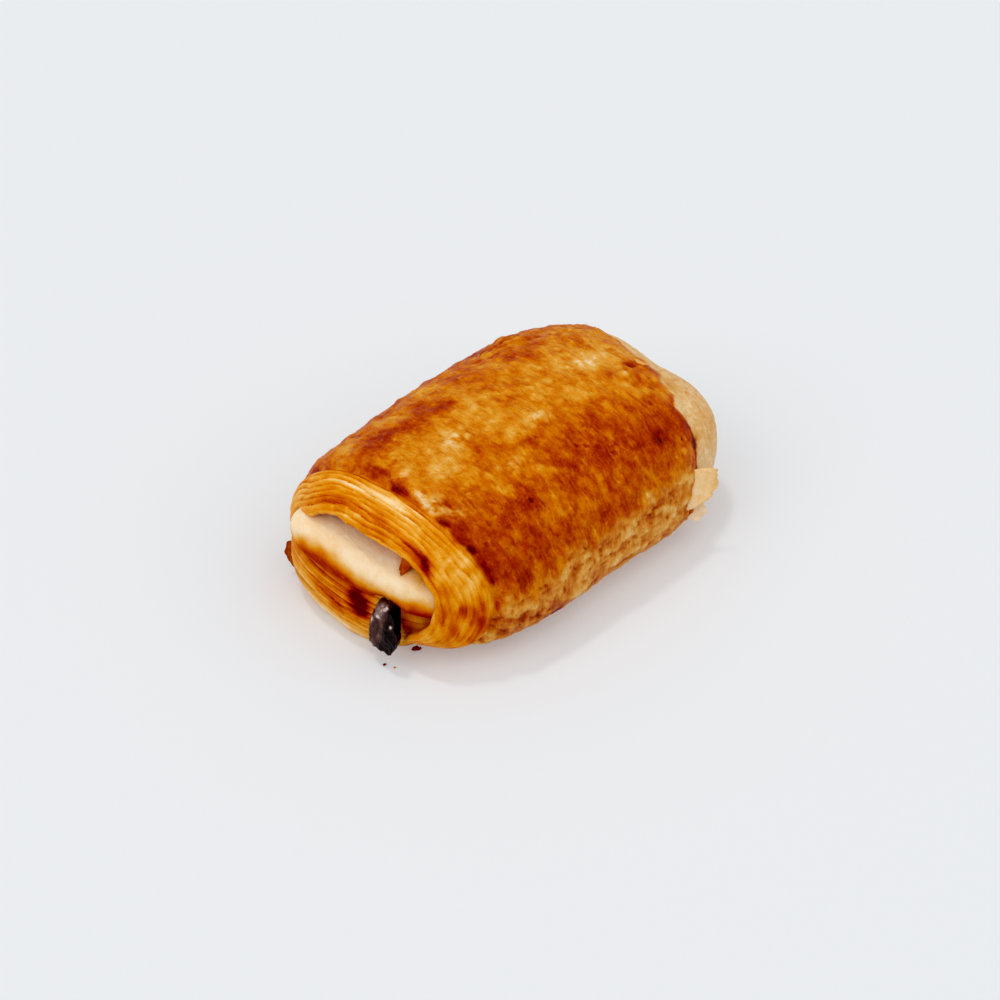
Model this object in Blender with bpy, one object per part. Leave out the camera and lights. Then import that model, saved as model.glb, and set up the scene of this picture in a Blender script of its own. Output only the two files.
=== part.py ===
"""A baked roll of layered dough with a stick of chocolate through it.

The roll lies along X. Its open wound end, where the chocolate pokes out, is at -X, its near side is
at -Y and its rounded far end at +X. Sizes are in millimetres and become metres where points are made.
"""

import math
from dataclasses import dataclass

import bmesh
import bpy
from mathutils import Vector, noise

MM = 0.001

# The roll. Each tuple of five holds values at even stations from the wound end to the far end.
ROLL_LENGTH = 104.0
NEAR_REACH = (35.0, 37.2, 36.0, 36.8, 38.0)
FAR_REACH = (31.5, 28.3, 30.1, 32.4, 34.8)
CROWN_HEIGHT = (40.0, 38.4, 38.0, 37.6, 36.8)
WIDEST_HEIGHT = 11.0
FOOT_SUNK = 1.6
WOUND_END_SQUARENESS = 3.3
FAR_END_SQUARENESS = 2.9
TOP_SQUARENESS = (2.05, 2.6)
FOOT_SQUARENESS = 2.5
FAR_FOOT_SQUARENESS = 3.8

# The loft's grid: rings along the roll, most where the crust has an edge, and points round it
WOUND_END_RINGS = 8
BAND_RINGS = 17
MIDDLE_RINGS = 18
FAR_EDGE_RINGS = 10
FAR_END_RINGS = 7
POINTS_ROUND = 58
RING_BREAKS = (-0.90, -0.60, 0.64, 0.90)

# The crust stops at a crevice, and the layered cut edge of the outer wrap runs from there to the lip
CREVICE_X = -38.6
CREVICE_TURN = 0.155
CREVICE_BOW = -0.0009
CREVICE_CURL = 0.0114
CREVICE_CURL_HEIGHT = 25.6
CREVICE_CURL_SIDE = (5.0, 25.0)
CREVICE_DEPTH = 1.1
CREVICE_WIDTH = 1.3
CREVICE_SHOULDER = 0.4
CREVICE_SHOULDER_BACK = 4.5
CREVICE_SHOULDER_WIDTH = 3.0
LAYER_SPACING = 2.7
LAYER_DEPTH = 0.32
BAND_LENGTH = 10.0
BAND_CREST = 0.6
BAND_CREST_PAST = 2.5
BAND_CREST_WIDTH = 1.7

# On the far side, low down, the wrap's rim is tucked behind the folded layer
TUCK_DEPTH = 2.0
TUCK_PAST = (1.0, 6.0)
TUCK_SIDE = (8.0, 18.0)
TUCK_HEIGHT = (12.0, 17.0)

# The far edge of the crust, where the pale end of the dough swells past it
FAR_EDGE_X = 42.2
FAR_EDGE_TURN = 0.18
FAR_EDGE_BOW = 0.004
FAR_EDGE_DEPTH = 1.2
FAR_EDGE_WIDTH = 1.8
FAR_END_STEP = 0.5

# Where the grid's rings lean along an edge of the crust: start and end of the change on each side of it
CREVICE_LEAN = (-51.5, -42.0, -35.0, -12.0)
FAR_EDGE_LEAN = (10.0, 38.0, 44.0, 51.5)

# Swellings and hollows that show on the outline: middle, width and height of each
TORN_BLISTER = ((20.5, 19.0, 33.5), 4.5, 1.0)
FOLD_BESIDE_BLISTER = ((26.5, 17.0, 34.0), 5.0, -0.8)
FAR_SHOULDER_HOLLOW = ((46.0, -3.0, 28.0), 8.0, -1.2)
FAR_END_SWELLING = ((46.5, -22.0, 19.0), 7.0, 0.9)
SWELLINGS = (TORN_BLISTER, FOLD_BESIDE_BLISTER, FAR_SHOULDER_HOLLOW, FAR_END_SWELLING)

# The uneven swell of the whole crust
SWELL_HEIGHT = 0.45
SWELL_SIZE = 17.0

# The ragged foot along the near side
FOOT_LEDGE_HEIGHT = 2.4
FOOT_LEDGE_REACH = 0.8
FOOT_LEDGE_STEP = 5.5
FOOT_LEDGE_THICKNESS = 2.0
FOOT_LEDGE_SPAN = (-34.0, -26.0, 30.0, 38.0)
FOOT_LEDGE_SIDE = (20.0, 28.0)

# The opening inside the lip
MOUTH_CENTRE = (-6.9, 17.3)
MOUTH_HALF = (19.2, 12.1)
MOUTH_TILT = 6.4
MOUTH_SQUARENESS = 2.35
MOUTH_FRONT_X = -60.0
MOUTH_TAPER_X = -45.0
MOUTH_FLOOR_X = -42.5
MOUTH_FLOOR_SCALE = 0.96
MOUTH_POINTS = 48

FOLD_RINGS = 18
FOLD_POINTS = 32
FOLD_GROOVES = 7.0

FLAKE_STEPS = 12
FLAKE_DEPTH_STEPS = 4
FLAKE_ROOT_DEPTH = 2.0

# The chocolate stick, from its hidden far end to its drooping tip
STICK_PATH = (
    (40.0, 0.0, 17.0),
    (8.0, -0.5, 17.0),
    (-20.0, -3.5, 16.0),
    (-38.0, -9.5, 12.2),
    (-46.5, -12.7, 8.8),
    (-52.7, -16.4, 7.2),
)
STICK_HALF_WIDTH = 4.2
STICK_HALF_HEIGHT = (4.4, 6.5)
STICK_SQUARENESS = 3.2
STICK_TALLER = (0.6, 0.95)
STICK_TIP_SLANT = 0.27
STICK_SLANTED = (0.75, 0.95)
STICK_RINGS = 26
STICK_POINTS = 20
STICK_ROUGHNESS = 0.35
STICK_CHIP_SIZE = 3.1
TUNNEL_GAP = 0.3
TUNNEL_PAST_TIP = 4.0

CRUST_COLOUR = (0.56, 0.22, 0.05, 1.0)
CRUST_ROUGHNESS = 0.42
CHOCOLATE_COLOUR = (0.025, 0.014, 0.013, 1.0)
CHOCOLATE_ROUGHNESS = 0.38


@dataclass(frozen=True)
class Fold:
    """A cushion of dough across the roll's end. It turns and tilts with y, bows back and has grooves."""

    name: str
    centre: tuple
    half: tuple
    squareness: float
    turn: float = 0.0
    tilt: float = 0.0
    bow: float = 0.0
    groove: float = 0.0


@dataclass(frozen=True)
class Flake:
    """A thin torn leaf of crust. Its root is the middle of its line on the roll."""

    name: str
    root: tuple
    along: tuple
    out: tuple
    width: float
    reach: float
    thickness: float
    curl: float
    seed: float


# The inner turn of the roll, the folded layer under it and the dough beside the stick
FOLDS = (
    Fold("inner_turn", (-41.8, -5.3, 17.8), (9.2, 21.8, 6.4), 2.4, turn=0.19, tilt=0.07),
    Fold("lower_fold", (-42.6, 2.6, 7.6), (10.2, 24.8, 10.1), 2.5, tilt=0.03, bow=0.0085, groove=0.2),
    Fold("side_cushion", (-41.6, -20.3, 10.6), (5.2, 6.6, 7.4), 2.4, turn=0.2),
)

# The torn leaves that stand out at the fold's side, at the far end's near corner and at the foot
FLAKES = (
    Flake("side_flake", (-47.0, 21.2, 4.6), (0.0, 0.25, 1.0), (-0.7, 0.7, 0.0), 7.5, 0.9, 1.1, 0.3, 1.0),
    Flake("end_flap", (41.0, -24.5, 8.5), (0.7, 0.65, 0.35), (0.55, -0.8, -0.1), 10.0, 4.9, 1.2, -0.5, 2.0),
    Flake("foot_flake", (32.0, -29.4, 3.6), (0.85, 0.5, 0.1), (0.45, -0.9, -0.1), 8.0, 2.4, 1.2, -0.3, 3.0),
)


def between_stations(values, along):
    """Smooth value at along, from -1 to 1, through values at even stations."""
    last = len(values) - 1
    position = (max(-1.0, min(1.0, along)) + 1.0) * last / 2.0
    index = min(int(position), last - 1)
    f = position - index
    before = values[index - 1] if index else 2.0 * values[0] - values[1]
    after = values[index + 2] if index + 2 <= last else 2.0 * values[last] - values[last - 1]
    start, end = values[index], values[index + 1]
    slope = end - before
    bend = 2.0 * before - 5.0 * start + 4.0 * end - after
    twist = 3.0 * start - before - 3.0 * end + after
    return 0.5 * (2.0 * start + slope * f + bend * f * f + twist * f**3)


def oval_radius(angle, half_width, half_height, squareness):
    """Distance from the middle of a squarish oval to its edge, in the direction of angle."""
    across = abs(math.cos(angle)) / half_width
    up = abs(math.sin(angle)) / half_height
    return (across**squareness + up**squareness) ** (-1.0 / squareness)


def bump(distance, width):
    """A smooth hill of height 1 at distance 0."""
    return math.exp(-((distance / width) ** 2))


def ramp(value, low, high):
    """0 below low, 1 above high and smooth between."""
    t = max(0.0, min(1.0, (value - low) / (high - low)))
    return t * t * (3.0 - 2.0 * t)


def plateau(value, span):
    """Rises from 0 to 1 between the first two numbers of span and falls back between the last two."""
    return ramp(value, span[0], span[1]) * (1.0 - ramp(value, span[2], span[3]))


def ring_stations():
    """Positions of the rings from -1 to 1, closer together at the crust's edges and at both ends."""
    band_start, band_end, edge_start, edge_end = RING_BREAKS
    stations = []
    for i in range(WOUND_END_RINGS):
        stations.append(-1.0 + (band_start + 1.0) * (1.0 - math.cos(0.5 * math.pi * i / WOUND_END_RINGS)))
    spans = (
        (band_start, band_end, BAND_RINGS),
        (band_end, edge_start, MIDDLE_RINGS),
        (edge_start, edge_end, FAR_EDGE_RINGS),
    )
    for start, end, count in spans:
        stations += [start + (end - start) * i / count for i in range(count)]
    for i in range(FAR_END_RINGS + 1):
        stations.append(edge_end + (1.0 - edge_end) * math.sin(0.5 * math.pi * i / FAR_END_RINGS))
    return stations


def crevice_lean(y, z):
    """How far the crevice lies from its middle's position along the roll, at this place across it."""
    near_side = ramp(-y, CREVICE_CURL_SIDE[0], CREVICE_CURL_SIDE[1])
    curl = CREVICE_CURL * max(0.0, CREVICE_CURL_HEIGHT - z) ** 2
    return -CREVICE_TURN * y - CREVICE_BOW * y * y - near_side * curl


def far_edge_lean(y):
    """The same for the far edge of the crust."""
    return FAR_EDGE_TURN * y - FAR_EDGE_BOW * y * y


def leaning_station(along, angle):
    """The ring's position moved at this angle, so that rings near an edge of the crust run along it."""
    x, y, z = roll_point(along, angle)
    lean = plateau(x, CREVICE_LEAN) * crevice_lean(y, z) + plateau(x, FAR_EDGE_LEAN) * far_edge_lean(y)
    return along + lean * 2.0 / ROLL_LENGTH


def roll_point(along, angle):
    """Point of the plain roll, before its relief. Angle 0 is the near side, and a quarter turn is the top."""
    squareness = WOUND_END_SQUARENESS if along < 0.0 else FAR_END_SQUARENESS
    shrink = max(0.0, 1.0 - abs(along) ** squareness) ** (1.0 / squareness)
    reach = between_stations(NEAR_REACH if math.cos(angle) > 0.0 else FAR_REACH, along)
    if math.sin(angle) > 0.0:
        height = between_stations(CROWN_HEIGHT, along) - WIDEST_HEIGHT
        section = TOP_SQUARENESS[0] + (TOP_SQUARENESS[1] - TOP_SQUARENESS[0]) * (along + 1.0) / 2.0
    else:
        height = WIDEST_HEIGHT + FOOT_SUNK
        fuller = (1.0 - ramp(along, -0.8, -0.1)) * ramp(-math.cos(angle), 0.0, 0.6)
        section = FOOT_SQUARENESS + (FAR_FOOT_SQUARENESS - FOOT_SQUARENESS) * fuller
    radius = shrink * oval_radius(angle, reach, height, section)
    x = along * ROLL_LENGTH / 2.0
    return Vector((x, -radius * math.cos(angle), WIDEST_HEIGHT + radius * math.sin(angle)))


def crust_relief(point):
    """How far the crust stands out from the plain roll at this point."""
    x, y, z = point
    past_crevice = CREVICE_X + crevice_lean(y, z) - x
    past_edge = x - FAR_EDGE_X - far_edge_lean(y)
    band_end = ramp(past_crevice, BAND_LENGTH, BAND_LENGTH + 4.0)
    in_band = ramp(past_crevice, 0.5, 2.5) * (1.0 - band_end)
    layers = 1.0 + math.cos(2.0 * math.pi * past_crevice / LAYER_SPACING)
    height = -CREVICE_DEPTH * bump(past_crevice, CREVICE_WIDTH)
    height += CREVICE_SHOULDER * bump(past_crevice + CREVICE_SHOULDER_BACK, CREVICE_SHOULDER_WIDTH)
    height -= LAYER_DEPTH * in_band * layers
    height += BAND_CREST * bump(past_crevice - BAND_CREST_PAST, BAND_CREST_WIDTH)
    low_far_side = ramp(y, TUCK_SIDE[0], TUCK_SIDE[1]) * (1.0 - ramp(z, TUCK_HEIGHT[0], TUCK_HEIGHT[1]))
    height -= TUCK_DEPTH * low_far_side * ramp(past_crevice, TUCK_PAST[0], TUCK_PAST[1])
    height -= FAR_EDGE_DEPTH * bump(past_edge, FAR_EDGE_WIDTH)
    height -= FAR_END_STEP * ramp(past_edge, -1.0, 2.0)
    for middle, width, rise in SWELLINGS:
        height += rise * bump((Vector(point) - Vector(middle)).length, width)
    height += SWELL_HEIGHT * noise.noise(Vector(point) / SWELL_SIZE)
    near_side = ramp(-y, FOOT_LEDGE_SIDE[0], FOOT_LEDGE_SIDE[1]) * plateau(x, FOOT_LEDGE_SPAN)
    ragged = 0.6 + 0.8 * noise.noise(Vector((x / FOOT_LEDGE_STEP, 3.0, 0.0)))
    height += FOOT_LEDGE_REACH * ragged * near_side * bump(z - FOOT_LEDGE_HEIGHT, FOOT_LEDGE_THICKNESS)
    return height


def relieved_point(along, angle):
    """Point of the roll with its relief, never below the flat foot."""
    step = 1e-3
    point = roll_point(along, angle)
    if abs(along) < 0.9995:
        side = roll_point(along, angle + step) - roll_point(along, angle - step)
        forward = roll_point(min(1.0, along + step), angle) - roll_point(max(-1.0, along - step), angle)
        outward = side.cross(forward)
        if outward.length > 1e-9:
            outward.normalize()
            if outward.dot(point - Vector((point.x, 0.0, WIDEST_HEIGHT))) < 0.0:
                outward.negate()
            point += outward * crust_relief(point)
    point.z = max(0.0, point.z)
    return point


def new_object(name, collection, mesh_data, smooth=True):
    """Makes an object of the bmesh and frees it."""
    bmesh.ops.recalc_face_normals(mesh_data, faces=mesh_data.faces)
    mesh = bpy.data.meshes.new(name)
    mesh_data.to_mesh(mesh)
    mesh_data.free()
    if smooth:
        mesh.shade_smooth()
        mesh.set_sharp_from_angle(angle=math.radians(50.0))
    item = bpy.data.objects.new(name, mesh)
    collection.objects.link(item)
    return item


def loft(rings):
    """Closed triangles through the rings. A ring of one point closes that end, and another gets a cap."""
    built = bmesh.new()
    placed = [[built.verts.new(Vector(point) * MM) for point in ring] for ring in rings]
    for first, second in zip(placed, placed[1:]):
        count = max(len(first), len(second))
        for i in range(count):
            j = (i + 1) % count
            if len(first) == 1:
                built.faces.new((first[0], second[j], second[i]))
            elif len(second) == 1:
                built.faces.new((first[i], first[j], second[0]))
            else:
                built.faces.new((first[i], first[j], second[j], second[i]))
    for end in (placed[0], placed[-1]):
        if len(end) > 1:
            built.faces.new(end)
    bmesh.ops.triangulate(built, faces=built.faces[:])
    return built


def make_roll(collection):
    """The whole outer roll, closed at both ends."""
    rings = []
    for along in ring_stations():
        if abs(along) > 0.99999:
            rings.append([roll_point(along, 0.0)])
            continue
        angles = [2.0 * math.pi * i / POINTS_ROUND for i in range(POINTS_ROUND)]
        rings.append([relieved_point(leaning_station(along, angle), angle) for angle in angles])
    return new_object("pastry", collection, loft(rings))


def make_mouth(collection):
    """Cutter for the opening inside the lip, a little narrower at its floor."""
    sections = ((MOUTH_FRONT_X, 1.0), (MOUTH_TAPER_X, 1.0), (MOUTH_FLOOR_X, MOUTH_FLOOR_SCALE))
    rings = []
    for x, scale in sections:
        ring = []
        for i in range(MOUTH_POINTS):
            angle = 2.0 * math.pi * i / MOUTH_POINTS
            radius = scale * oval_radius(angle, MOUTH_HALF[0], MOUTH_HALF[1], MOUTH_SQUARENESS)
            turned = angle + math.radians(MOUTH_TILT)
            y = MOUTH_CENTRE[0] + radius * math.cos(turned)
            z = MOUTH_CENTRE[1] + radius * math.sin(turned)
            ring.append((x, y, z))
        rings.append(ring)
    return new_object("mouth_cutter", collection, loft(rings), smooth=False)


def make_fold(fold, collection):
    """The cushion of dough that fold describes."""
    rings = []
    for i in range(FOLD_RINGS + 1):
        along = -math.cos(math.pi * i / FOLD_RINGS)
        across = along * fold.half[1]
        x = fold.centre[0] - fold.turn * across + fold.bow * across * across
        y = fold.centre[1] + across
        middle_z = fold.centre[2] + fold.tilt * across
        shrink = max(0.0, 1.0 - abs(along) ** fold.squareness) ** (1.0 / fold.squareness)
        if shrink < 1e-6:
            rings.append([(x, y, middle_z)])
            continue
        ring = []
        for j in range(FOLD_POINTS):
            angle = 2.0 * math.pi * j / FOLD_POINTS
            radius = shrink * oval_radius(angle, fold.half[0], fold.half[2], fold.squareness)
            radius += fold.groove * shrink * math.cos(FOLD_GROOVES * angle + 1.2 * along)
            z = middle_z + radius * math.sin(angle)
            ring.append((x - radius * math.cos(angle), y, max(0.0, z)))
        rings.append(ring)
    return new_object(fold.name, collection, loft(rings))


def flake_reach(flake, side):
    """How far the flake's ragged edge stands out, with side from -1 to 1 along its root."""
    coarse = noise.noise(Vector((2.3 * side, flake.seed, 0.7)))
    fine = noise.noise(Vector((7.0 * side, flake.seed, 4.1)))
    return flake.reach * (1.0 + 0.55 * coarse + 0.35 * fine) * (1.0 - 0.75 * abs(side) ** 2.2)


def make_flake(flake, collection):
    """The torn leaf that flake describes, thinner towards its outer edge."""
    along = Vector(flake.along).normalized()
    out = Vector(flake.out).normalized()
    normal = along.cross(out).normalized()
    rings = []
    for i in range(FLAKE_STEPS + 1):
        side = 2.0 * i / FLAKE_STEPS - 1.0
        length = FLAKE_ROOT_DEPTH + flake_reach(flake, side)
        wave = 0.3 * math.sin(5.0 * side + flake.seed)
        upper, lower = [], []
        for j in range(FLAKE_DEPTH_STEPS + 1):
            part = j / FLAKE_DEPTH_STEPS
            middle = Vector(flake.root) + along * (side * flake.width / 2.0)
            middle += out * (length * part - FLAKE_ROOT_DEPTH) + normal * (flake.curl * part * part + wave)
            half = 0.5 * flake.thickness * (1.0 - 0.65 * part)
            upper.append(middle + normal * half)
            lower.append(middle - normal * half)
        rings.append(upper + lower[::-1])
    return new_object(flake.name, collection, loft(rings))


def stick_centre(part):
    """Point on the stick's path, with part from 0 to 1."""
    along = 2.0 * part - 1.0
    return Vector(between_stations(values, along) for values in zip(*STICK_PATH))


def stick_section(part, blunt, rough, grow):
    """One ring of the stick: blunt shrinks it, rough roughens it and grow widens it all round."""
    centre = stick_centre(part)
    taller = ramp(part, STICK_TALLER[0], STICK_TALLER[1])
    half_height = STICK_HALF_HEIGHT[0] + (STICK_HALF_HEIGHT[1] - STICK_HALF_HEIGHT[0]) * taller
    slant = STICK_TIP_SLANT * ramp(part, STICK_SLANTED[0], STICK_SLANTED[1])
    ring = []
    for j in range(STICK_POINTS):
        angle = 2.0 * math.pi * j / STICK_POINTS
        radius = oval_radius(angle, STICK_HALF_WIDTH, half_height, STICK_SQUARENESS)
        spot = centre + Vector((0.0, radius * math.cos(angle), radius * math.sin(angle)))
        radius -= rough * (0.5 + noise.noise(spot / STICK_CHIP_SIZE))
        across = (blunt * radius + grow) * math.cos(angle)
        up = (blunt * radius + grow) * math.sin(angle)
        ring.append((centre.x + slant * (up + half_height), centre.y + across, centre.z + up))
    return ring


def stick_rings(grow):
    """Rings of the stick from its far end to its tip: the stick itself for 0, else its smooth casing."""
    rings = []
    for i in range(STICK_RINGS + 1):
        part = i / STICK_RINGS
        from_end = min(i, STICK_RINGS - i)
        blunt = 0.72 + 0.28 * ramp(from_end, 0.0, 2.0) if grow == 0.0 else 1.0
        rough = STICK_ROUGHNESS * ramp(part, 0.8, 0.9) if grow == 0.0 else 0.0
        rings.append(stick_section(part, blunt, rough, grow))
    return rings


def make_stick(collection):
    """The chocolate stick itself."""
    return new_object("chocolate_stick", collection, loft(stick_rings(0.0)))


def make_tunnel(collection):
    """Cutter for the stick's way through the dough, with a small gap all round and past both ends."""
    rings = stick_rings(TUNNEL_GAP)
    start = [Vector(point) + Vector((TUNNEL_GAP, 0.0, 0.0)) for point in rings[0]]
    end = [Vector(point) - Vector((TUNNEL_PAST_TIP, 0.0, 0.0)) for point in rings[-1]]
    return new_object("stick_tunnel_cutter", collection, loft([start] + rings[1:] + [end]), smooth=False)


def add_boolean(item, name, operation, other):
    """Adds a Boolean with one object, or with a collection."""
    modifier = item.modifiers.new(name, "BOOLEAN")
    modifier.operation = operation
    modifier.solver = "EXACT"
    if isinstance(other, bpy.types.Collection):
        modifier.operand_type = "COLLECTION"
        modifier.collection = other
    else:
        modifier.object = other
    return modifier


def apply_modifier(item, modifier):
    """Applies one modifier of the object."""
    bpy.context.view_layer.objects.active = item
    bpy.ops.object.modifier_apply(modifier=modifier.name)


def give_material(item, name, colour, roughness):
    """Gives the object its one material."""
    material = bpy.data.materials.new(name)
    material.use_nodes = True
    shader = material.node_tree.nodes["Principled BSDF"]
    shader.inputs["Base Color"].default_value = colour
    shader.inputs["Roughness"].default_value = roughness
    item.data.materials.clear()
    item.data.materials.append(material)


def hide_cutter(item):
    """Keeps a cutter out of the render and thin in the viewport."""
    item.hide_render = True
    item.display_type = "WIRE"


def centre_on_foot(items):
    """Moves the objects so that the origin is under the middle of their common box."""
    corners = []
    graph = bpy.context.evaluated_depsgraph_get()
    for item in items:
        if item.hide_render:
            continue
        corners += [item.matrix_world @ vertex.co for vertex in item.evaluated_get(graph).data.vertices]
    low = Vector(min(corner[axis] for corner in corners) for axis in range(3))
    high = Vector(max(corner[axis] for corner in corners) for axis in range(3))
    middle = Vector(((low.x + high.x) / 2.0, (low.y + high.y) / 2.0, low.z))
    for item in items:
        item.location -= middle


def main():
    for item in list(bpy.data.objects):
        bpy.data.objects.remove(item, do_unlink=True)
    scene = bpy.context.scene
    parts = bpy.data.collections.new("Pain au chocolat")
    cutters = bpy.data.collections.new("Cutters")
    fused = bpy.data.collections.new("Folds and flakes")
    for collection in (parts, cutters, fused):
        scene.collection.children.link(collection)

    pastry = make_roll(parts)
    mouth = make_mouth(cutters)
    hide_cutter(mouth)
    apply_modifier(pastry, add_boolean(pastry, "Open the wound end", "DIFFERENCE", mouth))
    bpy.data.objects.remove(mouth, do_unlink=True)

    for fold in FOLDS:
        make_fold(fold, fused)
    for flake in FLAKES:
        make_flake(flake, fused)
    apply_modifier(pastry, add_boolean(pastry, "Fuse the folds", "UNION", fused))
    for item in list(fused.objects):
        bpy.data.objects.remove(item, do_unlink=True)
    bpy.data.collections.remove(fused)

    tunnel = make_tunnel(cutters)
    hide_cutter(tunnel)
    add_boolean(pastry, "Way for the stick", "DIFFERENCE", tunnel)
    stick = make_stick(parts)

    give_material(pastry, "Baked crust", CRUST_COLOUR, CRUST_ROUGHNESS)
    give_material(stick, "Dark chocolate", CHOCOLATE_COLOUR, CHOCOLATE_ROUGHNESS)
    bpy.context.view_layer.update()
    centre_on_foot([pastry, stick, tunnel])


main()
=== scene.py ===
"""Looks of a baked pain au chocolat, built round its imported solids.

The roll lies along X. Its open wound end, where the chocolate pokes out, is at -X, its near side is
at -Y and its rounded far end at +X. Sizes are in millimetres in the roll's own coordinates, and
become metres in the frame where a mesh is made. Angles round the roll start at 0 on the near side
and are 90 degrees at the top.
"""

import logging
import math
from collections.abc import Callable, Sequence
from dataclasses import dataclass, replace
from enum import Enum

import bmesh
import bpy
import numpy as np
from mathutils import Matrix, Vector, noise


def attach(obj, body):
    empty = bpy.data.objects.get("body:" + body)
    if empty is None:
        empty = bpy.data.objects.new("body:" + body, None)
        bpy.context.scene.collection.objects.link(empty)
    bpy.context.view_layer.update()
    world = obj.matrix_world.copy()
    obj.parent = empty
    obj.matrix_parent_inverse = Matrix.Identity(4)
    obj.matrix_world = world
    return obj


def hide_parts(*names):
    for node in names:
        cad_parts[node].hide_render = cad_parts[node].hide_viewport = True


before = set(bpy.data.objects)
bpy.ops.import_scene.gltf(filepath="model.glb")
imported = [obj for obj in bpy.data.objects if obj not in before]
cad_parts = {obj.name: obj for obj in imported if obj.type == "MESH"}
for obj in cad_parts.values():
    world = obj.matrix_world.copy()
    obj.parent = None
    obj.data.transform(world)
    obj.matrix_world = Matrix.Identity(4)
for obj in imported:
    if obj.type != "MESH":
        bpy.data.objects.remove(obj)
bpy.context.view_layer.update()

LOG = logging.getLogger("pain_au_chocolat")
MM = 0.001
BODY = "root"
MERGE_DISTANCE = 1e-7

# How often an interval is halved to find where two outlines cross
HALVINGS = 40

# The frame's origin in the roll's own coordinates: under the middle of its box, on the foot
FRAME_ORIGIN = (-0.5, -2.8586, 0.0)

Array = np.ndarray
Spot = tuple[float, float, float]


def bump(distance: Array, width: float) -> Array:
    """A smooth hill of height 1 at distance 0."""
    return np.exp(-((distance / width) ** 2))


def ramp(value: Array, low: float, high: float) -> Array:
    """0 below low, 1 above high and smooth between."""
    t = np.clip((value - low) / (high - low), 0.0, 1.0)
    return t * t * (3.0 - 2.0 * t)


def plateau(value: Array, span: Sequence[float]) -> Array:
    """Rises from 0 to 1 between the first two numbers of span and falls back between the last two."""
    return ramp(value, span[0], span[1]) * (1.0 - ramp(value, span[2], span[3]))


def blend(first: Array, second: Array, share: Array) -> Array:
    """The first value where share is 0 and the second where it is 1."""
    return first + (second - first) * share


def spline(padded: Array, position: Array, last: int) -> Array:
    """Smooth value at a position from 0 to last, through values padded with one more at each end.

    Args:
        padded: The values, with one more at each end.
        position: Where to read, from 0 to last.
        last: The position of the last value.

    Returns:
        The value at each position.
    """
    index = np.clip(position.astype(int), 0, last - 1)
    f = position - index
    before, start, end, after = (padded[index + k] for k in range(4))
    slope = end - before
    bend = 2.0 * before - 5.0 * start + 4.0 * end - after
    twist = 3.0 * start - before - 3.0 * end + after
    return 0.5 * (2.0 * start + slope * f + bend * f * f + twist * f**3)


def between_stations(values: Sequence[float], along: Array) -> Array:
    """Smooth value at along, from -1 to 1, through values at even stations.

    Args:
        values: One value for each station.
        along: Positions from -1 to 1.

    Returns:
        The value at each position.
    """
    last = len(values) - 1
    before_all = 2.0 * values[0] - values[1]
    after_all = 2.0 * values[last] - values[last - 1]
    padded = np.array([before_all, *values, after_all])
    return spline(padded, (np.clip(along, -1.0, 1.0) + 1.0) * last / 2.0, last)


def round_the_roll(values: Sequence[float], angle: Array) -> Array:
    """Smooth value at each angle, through values at even steps of a full turn.

    Args:
        values: One value for each step of the turn.
        angle: Directions round the roll.

    Returns:
        The value at each angle.
    """
    count = len(values)
    padded = np.array([values[-1], *values, values[0], values[1]])
    return spline(padded, (angle / (2.0 * math.pi) % 1.0) * count, count)


def oval_radius(angle: Array, half_width: Array, half_height: Array, squareness: Array) -> Array:
    """Distance from the middle of a squarish oval to its edge, in the direction of angle.

    Args:
        angle: Directions from its middle.
        half_width: Its reach across.
        half_height: Its reach up and down.
        squareness: 2 for an ellipse, and more for squarer.

    Returns:
        One distance for each direction.
    """
    across = np.abs(np.cos(angle)) / half_width
    up = np.abs(np.sin(angle)) / half_height
    return (across**squareness + up**squareness) ** (-1.0 / squareness)


def noise_at(points: Array, size: float | Sequence[float], seed: float = 0.0, octaves: int = 1) -> Array:
    """Smooth noise from about -1 to 1.

    Args:
        points: Places in mm, with the three coordinates last.
        size: The size of its features in mm, one number or one for each axis.
        seed: Moves to another part of the pattern.
        octaves: How many finer layers it adds up.

    Returns:
        One value for each place.
    """
    spots = points.reshape(-1, 3) / np.asarray(size) + seed * np.array((1.7, -2.3, 3.1))
    if octaves == 1:
        values = [noise.noise(spot) for spot in spots.tolist()]
    else:
        values = [noise.fractal(spot, 0.9, 2.1, octaves) for spot in spots.tolist()]
    return np.array(values).reshape(points.shape[:-1])


def crisp(values: Array, sharpness: float) -> Array:
    """Pushes smooth noise towards -1 and 1, so that its patches get edges."""
    return np.tanh(sharpness * values)


def creases(values: Array, width: float) -> Array:
    """Thin lines of height 1 where smooth noise crosses zero."""
    return bump(values, width)


@dataclass(frozen=True)
class Grain:
    """A pattern of noise over the dough: the size of its features in mm, and how much it adds.

    A sharpness gives its patches edges, and a line width leaves only thin lines between them.
    """

    size: float | Spot
    seed: float
    adds: float = 1.0
    octaves: int = 1
    sharpness: float = 0.0
    line_width: float = 0.0

    def field(self, points: Array) -> Array:
        """What the grain adds at each point.

        Args:
            points: Places in mm.

        Returns:
            One value for each place.
        """
        values = noise_at(points, self.size, self.seed, self.octaves)
        if self.sharpness:
            values = crisp(values, self.sharpness)
        if self.line_width:
            values = creases(values, self.line_width)
        return self.adds * values

    def times(self, adds: float) -> "Grain":
        """The same pattern, which adds this much."""
        return replace(self, adds=adds)


def with_grains(values: Array, grains: Sequence[Grain], points: Array) -> Array:
    """The values with what each grain adds at the points.

    Args:
        values: One value for each place.
        grains: The patterns to add.
        points: Places in mm.

    Returns:
        The new values.
    """
    for grain in grains:
        values = values + grain.field(points)
    return values


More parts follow.
